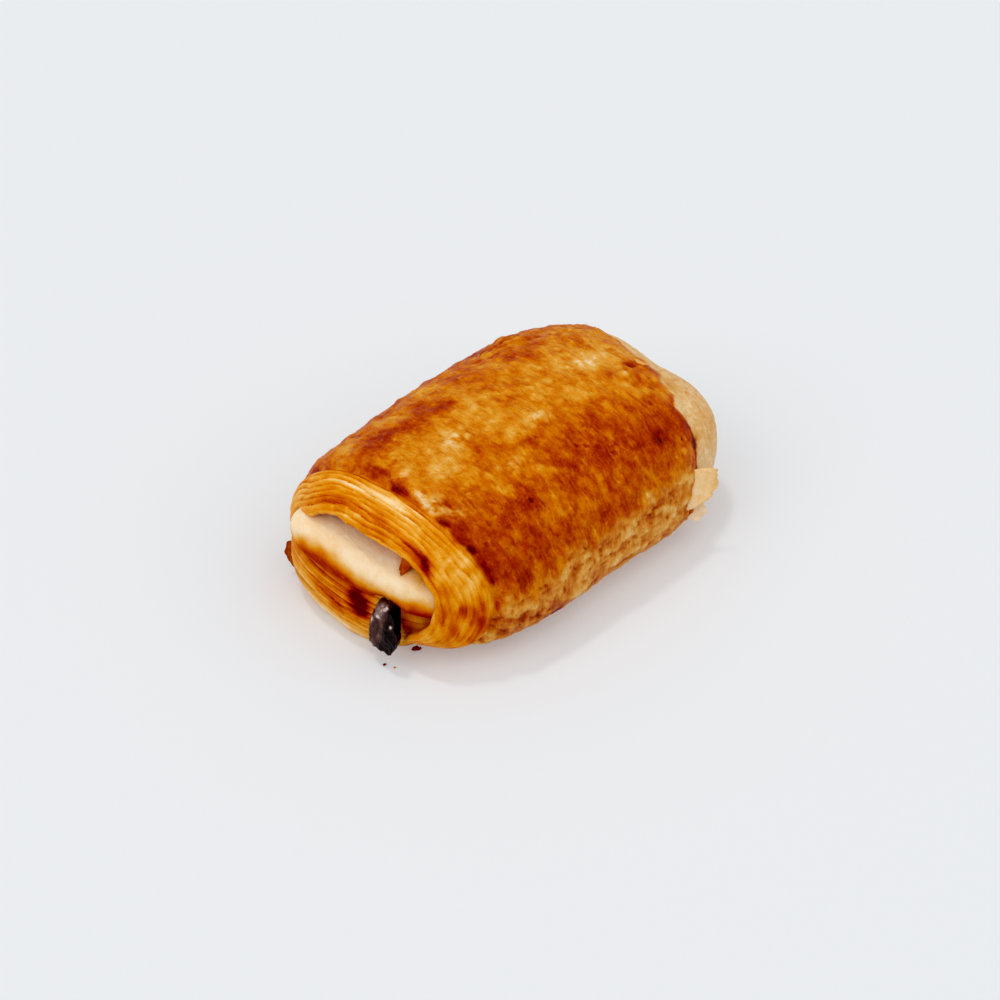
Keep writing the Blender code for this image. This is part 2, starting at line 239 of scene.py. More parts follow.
# Patterns that the relief and the browning share: folds of the torn blister, and the foot's flakes
TORN_FOLDS = Grain((9.0, 1.9, 1.9), 14.0, octaves=2)
FOOT_STREAKS = Grain((3.4, 2.0, 2.0), 44.0, octaves=4)
FOOT_FLAKES = Grain((3.6, 3.0, 3.0), 45.0, octaves=2, sharpness=4.0)
FOOT_LINES = Grain((9.0, 3.6, 3.6), 46.0, octaves=3, line_width=0.06)

# The low near side, in degrees, where the cut layers blur into each other
BLURRED_SIDE = (-30.0, 0.0, 30.0, 62.0)


def linear_colour(code: str) -> tuple[float, float, float, float]:
    """The linear colour of an sRGB hex code.

    Args:
        code: The colour, such as #F4F6F9.

    Returns:
        Red, green, blue and a full alpha.
    """
    channels = [int(code[i : i + 2], 16) / 255.0 for i in (1, 3, 5)]
    linear = [c / 12.92 if c <= 0.04045 else ((c + 0.055) / 1.055) ** 2.4 for c in channels]
    return (linear[0], linear[1], linear[2], 1.0)


@dataclass
class Form:
    """A closed form as rows of points in mm, from one pole to the other.

    Values hold numbers or vectors for each point, which the materials read by name.
    """

    points: Array
    values: dict[str, Array]


def build_object(name: str, forms: Sequence[Form]) -> bpy.types.Object:
    """Makes one smooth object of closed forms.

    Each form is a grid moved to its place, whose seam and poles are merged.

    Args:
        name: The object's name.
        forms: The closed forms.

    Returns:
        The object, with its values stored and each point's part, row and column kept as attributes.
    """
    shape = bmesh.new()
    layers = [shape.verts.layers.int.new(key) for key in ("part", "row", "column")]
    for part, form in enumerate(forms):
        rows, columns = form.points.shape[0] - 1, form.points.shape[1]
        made = bmesh.ops.create_grid(shape, x_segments=rows, y_segments=columns, size=1.0)["verts"]
        spots = np.array([vertex.co[:] for vertex in made])
        row = np.rint((spots[:, 0] + 1.0) * 0.5 * rows).astype(int)
        column = np.rint((spots[:, 1] + 1.0) * 0.5 * columns).astype(int) % columns
        places = (form.points[row, column] - np.array(FRAME_ORIGIN)) * MM
        for vertex, place, r, c in zip(made, places.tolist(), row.tolist(), column.tolist()):
            vertex.co = place
            vertex[layers[0]] = part
            vertex[layers[1]] = r
            vertex[layers[2]] = c
    bmesh.ops.remove_doubles(shape, verts=shape.verts, dist=MERGE_DISTANCE)
    bmesh.ops.recalc_face_normals(shape, faces=shape.faces)
    item = mesh_object(name, shape)
    part, row, column = (read_whole_numbers(item, key) for key in ("part", "row", "column"))
    for key in forms[0].values:
        pieces = [form.values[key] for form in forms]
        values = np.zeros((len(part), *pieces[0].shape[2:]))
        for number, piece in enumerate(pieces):
            chosen = part == number
            values[chosen] = piece[row[chosen], column[chosen]]
        store(item, key, values)
    return item


def mesh_object(name: str, shape: bmesh.types.BMesh) -> bpy.types.Object:
    """Makes a smooth-shaded object of the bmesh and frees it.

    Args:
        name: The object's name.
        shape: Its mesh.

    Returns:
        The object, in the scene.
    """
    mesh = bpy.data.meshes.new(name)
    shape.to_mesh(mesh)
    shape.free()
    mesh.shade_smooth()
    item = bpy.data.objects.new(name, mesh)
    bpy.context.scene.collection.objects.link(item)
    return item


def read_whole_numbers(item: bpy.types.Object, name: str) -> Array:
    """The whole number that each vertex holds under this name.

    Args:
        item: The object.
        name: The attribute.

    Returns:
        One number for each vertex.
    """
    values = np.zeros(len(item.data.vertices), np.int32)
    item.data.attributes[name].data.foreach_get("value", values)
    return values


def store(item: bpy.types.Object, name: str, values: Array) -> None:
    """Keeps one number or one vector for each vertex under this name, for the materials to read.

    Args:
        item: The object.
        name: The attribute.
        values: One row for each vertex.
    """
    kind, key = ("FLOAT", "value") if values.ndim == 1 else ("FLOAT_VECTOR", "vector")
    attribute = item.data.attributes.new(name, kind, "POINT")
    attribute.data.foreach_set(key, np.ascontiguousarray(values, np.float32).ravel())


def add_node(
    tree: bpy.types.NodeTree,
    kind: str,
    inputs: dict[int | str, object] | None = None,
    stops: Sequence[tuple[float, str]] = (),
    **settings: object,
) -> bpy.types.Node:
    """Adds a node with its settings, and sets or links its inputs.

    Args:
        tree: The material's node tree.
        kind: The node's type.
        inputs: For an input's name or number, its value or the socket that feeds it.
        stops: Positions and sRGB hex colours of a colour ramp.
        settings: The node's own properties.

    Returns:
        The new node.
    """
    node = tree.nodes.new(kind)
    for key, value in settings.items():
        setattr(node, key, value)
    for key, value in (inputs or {}).items():
        if isinstance(value, bpy.types.NodeSocket):
            tree.links.new(value, node.inputs[key])
        else:
            node.inputs[key].default_value = value
    for i, (position, code) in enumerate(stops):
        elements = node.color_ramp.elements
        element = elements[i] if i < 2 else elements.new(position)
        element.position = position
        element.color = linear_colour(code)
    return node


@dataclass(frozen=True)
class Mouth:
    """The opening inside the lip at the wound end."""

    centre: tuple[float, float] = (-6.9, 17.3)
    half: tuple[float, float] = (19.2, 12.1)
    tilt: float = math.radians(6.4)
    squareness: float = 2.35
    floor_x: float = -42.5
    farthest: float = 60.0

    def outline_radius(self, angle: Array, axis_height: float) -> Array:
        """Distance from the roll's axis to the outline, in the direction of angle.

        Args:
            angle: Directions round the roll.
            axis_height: The height of the roll's axis in mm.

        Returns:
            One distance in mm for each direction.
        """
        low = np.zeros_like(angle)
        high = np.full_like(angle, self.farthest)
        for _ in range(HALVINGS):
            middle = 0.5 * (low + high)
            y = -middle * np.cos(angle) - self.centre[0]
            z = axis_height + middle * np.sin(angle) - self.centre[1]
            across = np.abs(y * math.cos(self.tilt) + z * math.sin(self.tilt)) / self.half[0]
            up = np.abs(z * math.cos(self.tilt) - y * math.sin(self.tilt)) / self.half[1]
            inside = across**self.squareness + up**self.squareness < 1.0
            low = np.where(inside, middle, low)
            high = np.where(inside, high, middle)
        return 0.5 * (low + high)


@dataclass(frozen=True)
class RollForm:
    """The plain form of the roll. Tuples of five hold values at even stations along it."""

    length: float = 104.0
    near_reach: tuple[float, ...] = (35.0, 37.2, 36.0, 36.8, 38.0)
    far_reach: tuple[float, ...] = (31.5, 28.3, 30.1, 32.4, 34.8)
    crown_height: tuple[float, ...] = (40.0, 38.4, 38.0, 37.6, 36.8)
    widest_height: float = 11.0
    foot_sunk: float = 1.6
    wound_end_squareness: float = 3.3
    far_end_squareness: float = 2.9
    top_squareness: tuple[float, float] = (2.05, 2.6)
    foot_squareness: float = 2.5
    far_foot_squareness: float = 3.8
    crevice_x: float = -38.6
    crevice_turn: float = 0.155
    crevice_bow: float = -0.0009
    crevice_curl: float = 0.0114
    crevice_curl_height: float = 25.6
    crevice_curl_side: tuple[float, float] = (5.0, 25.0)
    far_edge_x: float = 42.2
    far_edge_turn: float = 0.18
    far_edge_bow: float = 0.004
    mouth: Mouth = Mouth()

    def radius(self, along: Array, angle: Array) -> Array:
        """Distance from the roll's axis to its surface.

        Args:
            along: Places along the roll, from -1 to 1.
            angle: Directions round the roll.

        Returns:
            The distances in mm.
        """
        squareness = np.where(along < 0.0, self.wound_end_squareness, self.far_end_squareness)
        shrink = np.maximum(0.0, 1.0 - np.abs(along) ** squareness) ** (1.0 / squareness)
        near = between_stations(self.near_reach, along)
        far = between_stations(self.far_reach, along)
        reach = np.where(np.cos(angle) > 0.0, near, far)
        crown = between_stations(self.crown_height, along) - self.widest_height
        top = blend(self.top_squareness[0], self.top_squareness[1], (along + 1.0) / 2.0)
        fuller = (1.0 - ramp(along, -0.8, -0.1)) * ramp(-np.cos(angle), 0.0, 0.6)
        foot = blend(self.foot_squareness, self.far_foot_squareness, fuller)
        upper = np.sin(angle) > 0.0
        height = np.where(upper, crown, self.widest_height + self.foot_sunk)
        return shrink * oval_radius(angle, reach, height, np.where(upper, top, foot))

    def point(self, along: Array, angle: Array) -> Array:
        """Point of the roll, with along from -1 to 1 and an angle that is 0 on the near side.

        Args:
            along: Places along the roll, from -1 to 1.
            angle: Directions round the roll.

        Returns:
            The points in mm.
        """
        radius = self.radius(along, angle)
        x = along * self.length / 2.0
        return np.stack((x, -radius * np.cos(angle), self.widest_height + radius * np.sin(angle)), axis=-1)

    def outward(self, along: Array, angle: Array) -> Array:
        """Direction straight out of the surface.

        Args:
            along: Places along the roll, from -1 to 1.
            angle: Directions round the roll.

        Returns:
            One direction of length 1 for each place.
        """
        step = 1e-3
        side = self.point(along, angle + step) - self.point(along, angle - step)
        ahead = self.point(np.minimum(along + step, 1.0), angle)
        forward = ahead - self.point(np.maximum(along - step, -1.0), angle)
        normal = np.cross(side, forward)
        length = np.linalg.norm(normal, axis=-1, keepdims=True)
        normal = normal / np.maximum(length, 1e-12)
        centre = np.array((0.0, 0.0, self.widest_height))
        away = self.point(along, angle) * np.array((0.0, 1.0, 1.0)) - centre
        turned = (normal * away).sum(axis=-1, keepdims=True) < 0.0
        return np.where(turned, -normal, normal)

    def past_crevice(self, points: Array) -> Array:
        """How far each point lies past the crevice, towards the wound end.

        Args:
            points: Places in mm.

        Returns:
            The distances in mm, negative on the crust's side.
        """
        x, y, z = (points[..., axis] for axis in range(3))
        near_side = ramp(-y, self.crevice_curl_side[0], self.crevice_curl_side[1])
        curl = self.crevice_curl * np.maximum(0.0, self.crevice_curl_height - z) ** 2
        return self.crevice_x - self.crevice_turn * y - self.crevice_bow * y * y - near_side * curl - x

    def past_far_edge(self, points: Array) -> Array:
        """How far each point lies past the crust's far edge."""
        y = points[..., 1]
        return points[..., 0] - self.far_edge_x - self.far_edge_turn * y + self.far_edge_bow * y * y

    def station_where(self, angle: Array, low: float, high: float, past: Callable[[Array], Array]) -> Array:
        """The place along the roll, for each angle, where past turns from negative to positive.

        Args:
            angle: Directions round the roll.
            low: A place where past is negative.
            high: A place where past is positive.
            past: Gives a signed measure for places along the roll.

        Returns:
            One place along the roll for each angle.
        """
        start = np.full_like(angle, low)
        end = np.full_like(angle, high)
        for _ in range(HALVINGS):
            middle = 0.5 * (start + end)
            over = past(middle) > 0.0
            end = np.where(over, middle, end)
            start = np.where(over, start, middle)
        return 0.5 * (start + end)

    def crevice_station(self, angle: Array) -> Array:
        """Where the crevice crosses each angle.

        Args:
            angle: Directions round the roll.

        Returns:
            Places along the roll, from -1 to 1.
        """

        def past(along: Array) -> Array:
            """How far these places lie past the crevice."""
            return self.past_crevice(self.point(along, angle))

        return self.station_where(angle, 0.0, -0.95, past)

    def far_edge_station(self, angle: Array) -> Array:
        """Where the crust's far edge crosses each angle.

        Args:
            angle: Directions round the roll.

        Returns:
            Places along the roll, from -1 to 1.
        """

        def past(along: Array) -> Array:
            """How far these places lie past the far edge."""
            return self.past_far_edge(self.point(along, angle))

        return self.station_where(angle, 0.3, 0.99, past)

    def lip_station(self, angle: Array) -> Array:
        """Where the lip of the opening crosses each angle.

        Args:
            angle: Directions round the roll.

        Returns:
            Places along the roll, from -1 to 1.
        """
        outline = self.mouth.outline_radius(angle, self.widest_height)

        def past(along: Array) -> Array:
            """How far these places lie inside the opening's outline."""
            return outline - self.radius(along, angle)

        return self.station_where(angle, -0.5, -0.99999, past)


@dataclass(frozen=True)
class Lamination:
    """Thin baked layers seen on edge: uneven steps, each with a tone of its own."""

    spacing: float
    seed: float
    drift: float = 0.75
    waver: float = 0.22

    def read(self, across: Array, points: Array) -> tuple[Array, Array]:
        """Reads the layers at each point.

        Args:
            across: The distance across the layers in mm.
            points: The points in mm.

        Returns:
            The place within its layer from 0 to 1, and the layer's tone from -1 to 1.
        """
        turn = across / self.spacing + self.drift * noise_at(points, 13.0, seed=self.seed)
        turn = turn + self.waver * noise_at(points, 4.5, seed=self.seed + 1.0)
        index = np.floor(turn)
        tone = np.sin(index * 12.99 + self.seed) * 437.58
        return turn - index, 2.0 * (tone - np.floor(tone)) - 1.0


class Zone(Enum):
    """The stretches of the outer wrap, from its far pole to the opening's floor, and their rows."""

    FAR_END = 46
    CRUST = 146
    BAND = 60
    WALL = 14
    FLOOR = 8


@dataclass(frozen=True)
class Mark:
    """An oval mark on the roll: its place in mm, its angle, its half sizes and how much it adds."""

    place: float
    angle: float
    half_place: float
    half_angle: float
    adds: float

    def field(self, place: Array, degrees: Array) -> Array:
        """How much the mark adds at each place and angle in degrees.

        Args:
            place: Places in mm.
            degrees: Their angles round it.

        Returns:
            One value for each place.
        """
        along = (place - self.place) / self.half_place
        around = (degrees - self.angle) / self.half_angle
        return self.adds * np.exp(-(along**2) - around**2)


def with_marks(values: Array, marks: Sequence[Mark], place: Array, degrees: Array) -> Array:
    """The values with what each mark adds at these places and angles.

    Args:
        values: One value for each place.
        marks: The marks to add.
        place: Places in mm.
        degrees: Their angles round it.

    Returns:
        The new values.
    """
    for mark in marks:
        values = values + mark.field(place, degrees)
    return values


@dataclass(frozen=True)
class Patch:
    """A place in the dough: its middle and half sizes in mm, and the browning or height it adds."""

    centre: Spot
    half: Spot
    adds: float

    def field(self, points: Array) -> Array:
        """How much the patch adds at each point."""
        away = (points - np.array(self.centre)) / np.array(self.half)
        return self.adds * np.exp(-(away**2).sum(axis=-1))


@dataclass(frozen=True)
class Blisters:
    """Small pits and bubbles where steam broke through the crust."""

    pits: tuple[tuple[float, float], ...] = (
        (-4.0, 60.0),
        (2.5, 48.0),
        (4.2, 46.0),
        (6.5, 43.0),
        (-16.0, 39.0),
        (-27.0, 55.0),
        (-25.0, 64.0),
        (28.5, 28.5),
        (9.0, 38.0),
        (14.0, 24.0),
        (19.0, 11.0),
        (23.0, 6.0),
        (26.5, 47.0),
        (-30.5, 33.0),
    )
    pit_size: float = 0.42
    pit_depth: float = 0.3
    scattered: int = 130
    bubble_size: tuple[float, float] = (0.6, 1.7)
    bubble_height: float = 0.3
    arm: float = 30.0
    seed: int = 7

    def read(self, x: Array, degrees: Array) -> tuple[Array, Array]:
        """Reads the blisters at each place of the crust.

        Args:
            x: Places along the roll in mm.
            degrees: Angles round it.

        Returns:
            Their height in mm, and what they add to the browning.
        """
        height = np.zeros_like(x)
        browning = np.zeros_like(x)
        arc = np.radians(degrees) * self.arm
        for place, angle in self.pits:
            away = np.hypot(x - place, arc - math.radians(angle) * self.arm) / self.pit_size
            height += self.pit_depth * (0.7 * np.exp(-((away - 1.6) ** 2) / 0.4) - np.exp(-(away**2)))
            browning += 0.22 * np.exp(-((away / 1.1) ** 2)) - 0.06 * np.exp(-((away - 2.0) ** 2) / 0.3)
        draw = np.random.default_rng(self.seed)
        for _ in range(self.scattered):
            place = draw.uniform(-36.0, 42.0)
            angle = math.radians(draw.uniform(0.0, 175.0))
            size = draw.uniform(*self.bubble_size)
            sunk = draw.random() < 0.3
            away = np.hypot(x - place, arc - angle * self.arm) / size
            hill = np.exp(-(away**2.6))
            rim = np.exp(-((away - 1.15) ** 2) / 0.08)
            height += self.bubble_height * size * (-0.5 * hill if sunk else 0.55 * hill)
            browning += (0.13 if sunk else -0.09) * hill + 0.06 * rim
        return height, browning


@dataclass(frozen=True)
class CrustRelief:
    """What stands out from the plain roll or sinks into it, in mm."""

    form: RollForm
    crevice_depth: float = 1.1
    crevice_width: float = 0.9
    shoulder: float = 0.4
    shoulder_back: float = 4.5
    shoulder_width: float = 3.0
    crest: float = 0.6
    crest_past: float = 2.5
    crest_width: float = 1.7
    tuck_depth: float = 2.0
    tuck_side: tuple[float, float] = (8.0, 18.0)
    tuck_top: tuple[float, float] = (12.0, 17.0)
    layers: Lamination = Lamination(1.1, seed=8.0, drift=1.1, waver=0.34)
    layer_depth: float = 0.42
    layer_strength: float = 0.6
    layer_waver: Grain = Grain(5.0, 11.0, 0.9)
    layer_grain: Grain = Grain(1.3, 12.0, 0.06, octaves=2)
    far_edge_depth: float = 0.8
    far_edge_width: float = 1.8
    far_end_step: float = 0.5
    swell_height: float = 0.45
    swell_size: float = 17.0
    foot_ledge_height: float = 2.4
    foot_ledge_reach: float = 0.8
    foot_ledge_breadth: float = 2.0
    foot_ledge_grain: float = 5.5
    foot_ledge_side: tuple[float, float] = (20.0, 28.0)
    foot_ledge_span: tuple[float, ...] = (-34.0, -26.0, 30.0, 38.0)
    wrinkle_height: float = 0.34
    wrinkles_across: Grain = Grain((1.7, 7.0, 7.0), 3.0, octaves=3)
    wrinkles_along: Grain = Grain((7.0, 1.8, 1.8), 4.0, octaves=3)
    lengthwise_spans: tuple[tuple[float, ...], ...] = (
        (-30.0, 0.0, 30.0, 50.0),
        (88.0, 100.0, 126.0, 145.0),
    )
    crust_grains: tuple[Grain, ...] = (
        Grain((2.0, 3.6, 3.6), 5.0, 0.16, sharpness=2.5),
        Grain(1.2, 6.0, 0.08, sharpness=2.0),
        Grain((5.0, 9.0, 9.0), 7.0, -0.22, octaves=2, line_width=0.05),
    )
    foot_grains: tuple[Grain, ...] = (
        FOOT_STREAKS.times(0.30),
        FOOT_FLAKES.times(0.16),
        FOOT_LINES.times(-0.30),
    )
    far_end_grains: tuple[Grain, ...] = (
        Grain(5.0, 41.0, 0.22),
        Grain(1.5, 42.0, 0.08, octaves=2),
        Grain((12.0, 5.0, 5.0), 43.0, -0.15, line_width=0.035),
    )
    torn_blister: Spot = (20.0, 19.0, 33.0)
    torn_size: float = 7.0
    torn_folds: tuple[float, float] = (0.35, 0.45)
    slit: Mark = Mark(33.3, 70.5, 1.5, 1.8, 1.0)
    swellings: tuple[tuple[Spot, float, float], ...] = (
        ((20.5, 19.0, 33.5), 4.5, 1.0),
        ((26.5, 17.0, 34.0), 5.0, -0.8),
        ((46.0, -3.0, 28.0), 8.0, -1.2),
        ((46.5, -22.0, 19.0), 7.0, 0.9),
    )

    def plain_height(self, points: Array) -> Array:
        """The large relief that the solid has too.

        Args:
            points: Points of the plain roll.

        Returns:
            The height in mm.
        """
        past_crevice = self.form.past_crevice(points)
        past_edge = self.form.past_far_edge(points)
        x, y, z = (points[..., axis] for axis in range(3))
        height = -self.crevice_depth * bump(past_crevice, self.crevice_width)
        height += self.shoulder * bump(past_crevice + self.shoulder_back, self.shoulder_width)
        height += self.crest * bump(past_crevice - self.crest_past, self.crest_width)
        height -= self.far_edge_depth * bump(past_edge, self.far_edge_width)
        height -= self.far_end_step * ramp(past_edge, -1.0, 2.0)
        for middle, width, rise in self.swellings:
            height += rise * bump(np.linalg.norm(points - np.array(middle), axis=-1), width)
        height += self.swell_height * noise_at(points, self.swell_size)
        height += self.foot_ledge(x, y, z)
        low_far_side = ramp(y, *self.tuck_side) * (1.0 - ramp(z, *self.tuck_top))
        return height - self.tuck_depth * low_far_side * ramp(past_crevice, 1.0, 6.0)

    def foot_ledge(self, x: Array, y: Array, z: Array) -> Array:
        """The ragged ledge along the near foot.

        Args:
            x: Places along the roll.
            y: Places across it.
            z: Heights.

        Returns:
            The height in mm.
        """
        spots = np.stack((x / self.foot_ledge_grain, np.full_like(x, 3.0), np.zeros_like(x)), axis=-1)
        ragged = 0.6 + 0.8 * noise_at(spots, 1.0)
        near_side = ramp(-y, *self.foot_ledge_side) * plateau(x, self.foot_ledge_span)
        shelf = bump(z - self.foot_ledge_height, self.foot_ledge_breadth)
        return self.foot_ledge_reach * ragged * near_side * shelf

    def crust_detail(self, points: Array, degrees: Array) -> Array:
        """Wrinkles, streaks and pores of the crust.

        Args:
            points: Points of the plain roll.
            degrees: Their angles round it.

        Returns:
            The height in mm.
        """
        lengthwise = np.clip(sum(plateau(degrees, span) for span in self.lengthwise_spans), 0.0, 1.0)
        wrinkles = blend(self.wrinkles_across.field(points), self.wrinkles_along.field(points), lengthwise)
        height = with_grains(self.wrinkle_height * wrinkles, self.crust_grains, points)
        near_blister = bump(np.linalg.norm(points - np.array(self.torn_blister), axis=-1), self.torn_size)
        folds = TORN_FOLDS.field(points)
        raised, cracked = self.torn_folds
        height += near_blister * (raised * crisp(folds, 3.0) - cracked * creases(folds, 0.12))
        return height - self.slit.field(points[..., 0], degrees)

    def height(self, points: Array, degrees: Array, step: Array, blisters: Array, foot: Array) -> Array:
        """How far the surface stands out at each point.

        Args:
            points: Points of the plain roll.
            degrees: Their angles round it.
            step: Their places within the band's layers.
            blisters: What the blisters add there.
            foot: How much of each place is the pale foot.

        Returns:
            The height in mm.
        """
        past_crevice = self.form.past_crevice(points)
        past_edge = self.form.past_far_edge(points)
        in_band = ramp(past_crevice, 0.4, 1.6)
        in_end = ramp(past_edge, -0.5, 1.5)
        crust = (1.0 - in_band) * (1.0 - in_end)
        height = self.plain_height(points)
        height += crust * (1.0 - foot) * (self.crust_detail(points, degrees) + blisters)
        level = np.zeros_like(height)
        height += crust * foot * with_grains(level, self.foot_grains, points)
        height += in_end * with_grains(level, self.far_end_grains, points)
        strength = np.maximum(0.0, self.layer_strength + self.layer_waver.field(points))
        strength = strength * blend(1.0, 0.5, plateau(degrees, BLURRED_SIDE))
        height -= in_band * self.layer_depth * (strength * step**3 + 0.1)
        return height + in_band * self.layer_grain.field(points)


@dataclass(frozen=True)
class Browning:
    """How browned the outer wrap is at each place, from 0, raw cream, to 1, nearly burnt, with painted
    highlights added on its glossy blisters and on the crest of its cut layers.

    Marks on the crust and the foot lie at a place along the roll. Those on the band and the far
    edge's lines lie at a distance past the crevice or past that edge, and those on the far end move
    its edge.
    """

    form: RollForm
    round_profile: tuple[float, ...] = (
        0.40, 0.63, 0.70, 0.53, 0.44, 0.48, 0.51, 0.56, 0.60,
        0.36, 0.30, 0.38, 0.46, 0.50, 0.50, 0.46, 0.38, 0.32,
    )
    pale_top: tuple[float, ...] = (2.0, 9.0, 15.0, 17.0, 20.0)
    crust_marks: tuple[Mark, ...] = (
        Mark(-31.0, 28.0, 3.5, 9.0, 0.11),
        Mark(-33.0, 36.0, 2.0, 6.0, 0.06),
        Mark(-26.0, 18.0, 5.0, 5.0, 0.14),
        Mark(-22.0, 35.0, 4.0, 6.0, 0.06),
        Mark(25.0, 61.0, 6.0, 6.0, -0.13),
        Mark(-30.0, 105.0, 7.0, 9.0, 0.29),
        Mark(-14.0, 100.0, 5.0, 6.0, 0.05),
        Mark(0.0, 44.0, 12.0, 5.0, -0.07),
        Mark(31.0, 86.0, 5.0, 9.0, -0.12),
        Mark(20.0, 95.0, 6.0, 6.0, -0.08),
        Mark(14.0, 45.0, 6.0, 6.0, -0.05),
        Mark(-20.0, 50.0, 6.5, 7.0, -0.14),
        Mark(-17.0, 43.0, 2.0, 8.0, 0.12),
        Mark(-16.0, 38.0, 1.5, 2.0, 0.20),
        Mark(-17.0, 23.0, 7.0, 4.0, 0.14),
        Mark(-5.5, 58.0, 2.5, 4.0, 0.22),
        Mark(2.0, 48.0, 3.0, 5.0, 0.18),
        Mark(0.0, 86.0, 2.5, 4.0, 0.10),
        Mark(-13.0, 102.0, 4.0, 4.0, 0.18),
        Mark(-17.0, 108.0, 7.0, 6.0, 0.15),
        Mark(-28.0, 109.0, 3.0, 4.0, 0.12),
        Mark(-20.0, 84.0, 5.0, 8.0, -0.10),
        Mark(-20.0, 72.0, 4.0, 6.0, -0.08),
        Mark(-7.0, 80.0, 4.0, 4.0, -0.05),
        Mark(-28.0, 44.0, 2.5, 4.0, -0.12),
        Mark(-8.0, 46.0, 2.0, 3.0, -0.08),
        Mark(-12.0, 30.0, 3.0, 3.0, -0.10),
        Mark(0.0, 68.0, 4.0, 4.0, -0.16),
        Mark(-2.0, 25.0, 3.0, 2.5, -0.14),
        Mark(-8.0, 32.0, 10.0, 6.0, -0.06),
        Mark(-11.0, 37.0, 2.0, 2.0, -0.08),
        Mark(-37.5, 92.0, 0.9, 6.0, 0.28),
        Mark(-37.0, 74.0, 1.0, 5.0, 0.26),
        Mark(-35.5, 44.0, 0.8, 5.0, 0.2),
        Mark(17.0, 34.0, 8.0, 5.0, 0.11),
        Mark(8.0, 20.0, 4.0, 4.0, 0.10),
        Mark(6.0, 40.0, 3.0, 3.0, 0.10),
        Mark(11.0, 48.0, 4.0, 4.0, 0.06),
        Mark(9.5, 60.0, 5.0, 8.0, 0.10),
        Mark(15.0, 62.0, 6.0, 4.0, 0.06),
        Mark(23.0, 70.0, 3.0, 4.0, 0.12),
        Mark(27.0, 49.0, 2.5, 3.0, 0.10),
        Mark(25.0, 84.0, 5.0, 7.0, -0.14),
        Mark(28.0, 70.0, 3.0, 4.0, -0.08),
        Mark(33.0, 95.0, 2.0, 5.0, -0.05),
        Mark(15.0, 104.0, 2.5, 5.0, 0.08),
        Mark(28.0, 103.0, 2.5, 4.0, 0.10),
        Mark(20.0, 111.0, 4.0, 3.0, 0.10),
        Mark(16.0, 114.0, 2.0, 3.0, 0.10),
        Mark(6.0, 108.0, 2.0, 4.0, 0.08),
        Mark(33.2, 70.7, 1.8, 2.0, 0.55),
        Mark(31.5, 24.0, 1.3, 5.0, 0.20),
        Mark(31.5, 50.0, 4.0, 9.0, -0.14),
        Mark(-36.7, 84.0, 0.8, 13.0, 0.24),
        Mark(-33.6, 41.0, 1.2, 8.0, 0.18),
    )
    # Painted sheen: pale, less washed spots painted on the crust's glossy blisters as highlights
    sheen_marks: tuple[Mark, ...] = (
        Mark(-34.2, 56.0, 2.2, 5.5, 1.4),
        Mark(-34.6, 64.0, 1.6, 4.0, 0.9),
        Mark(-34.6, 80.0, 2.0, 3.5, 0.9),
        Mark(-32.0, 49.0, 1.2, 3.0, 1.0),
        Mark(-18.9, 80.0, 4.5, 5.0, 0.7),
        Mark(-28.5, 49.0, 1.5, 4.0, 0.8),
        Mark(0.3, 67.0, 3.0, 4.0, 0.7),
        Mark(22.0, 86.0, 5.0, 4.0, 0.7),
        Mark(-14.8, 56.0, 2.5, 3.0, 0.7),
        Mark(-26.0, 70.0, 4.0, 4.0, 0.5),
    )
    torn_blister: Spot = (13.0, 20.0, 32.5)
    torn_size: float = 9.0
    torn_bake: float = 0.3
    torn_pale: float = 0.06
    held_from: float = 0.72
    held_back: float = 0.55
    mark_waver: Grain = Grain(4.0, 51.0, 1.3)
    mark_turn: Grain = Grain(4.0, 52.0, 2.6)
    mottles: tuple[Grain, ...] = (
        Grain((7.0, 9.0, 9.0), 21.0, 0.15, octaves=3),
        Grain((2.2, 3.6, 3.6), 22.0, 0.055, octaves=3, sharpness=4.0),
        Grain((1.0, 1.8, 1.8), 24.0, 0.045, octaves=2, sharpness=4.0),
    )
    crevice_adds: float = 0.2
    crevice_waver: Grain = Grain(3.0, 26.0)
    # Breaks the painted sheen up into small spots
    sheen_flecks: Grain = Grain((1.4, 2.4, 2.4), 65.0, octaves=3)
    sheen_bake: float = -0.40
    sheen_wash: float = -0.45
    foot_tongues: tuple[Grain, ...] = (
        Grain((2.6, 40.0, 40.0), 23.0, 5.0, octaves=3),
        Grain(2.0, 28.0, 2.5, sharpness=2.0),
    )
    foot_low: tuple[float, float] = (-60.0, -35.0)
    foot_bake: float = 0.44
    foot_grains: tuple[Grain, ...] = (
        FOOT_STREAKS.times(-0.22),
        FOOT_FLAKES.times(-0.09),
        Grain((0.9, 4.0, 4.0), 30.5, 0.10, octaves=2),
        FOOT_LINES.times(0.20),
    )
    foot_marks: tuple[Mark, ...] = (
        Mark(-16.5, -9.0, 1.4, 3.0, 0.5),
        Mark(-34.0, 2.0, 6.0, 6.0, 0.14),
        Mark(-22.0, 8.0, 3.0, 3.0, 0.12),
        Mark(-22.0, 0.0, 6.0, 6.0, 0.12),
        Mark(27.0, -4.0, 2.0, 2.5, 0.35),
        Mark(30.0, 12.0, 2.0, 3.0, 0.2),
    )
    band_bake: float = 0.40
    band_tone: float = 0.13
    band_rims: float = 0.32
    band_faces: float = 0.14
    band_waver: Grain = Grain(5.0, 53.0, 0.5)
    band_fades: Grain = Grain(5.0, 60.0)
    band_blurred: Grain = Grain((3.0, 2.2, 5.0), 64.0, 0.11, octaves=2, sharpness=3.0)
    band_grains: tuple[Grain, ...] = (
        Grain(6.0, 27.0, 0.12, octaves=2),
        Grain((1.0, 3.0, 3.0), 30.0, 0.06, sharpness=2.0),
    )
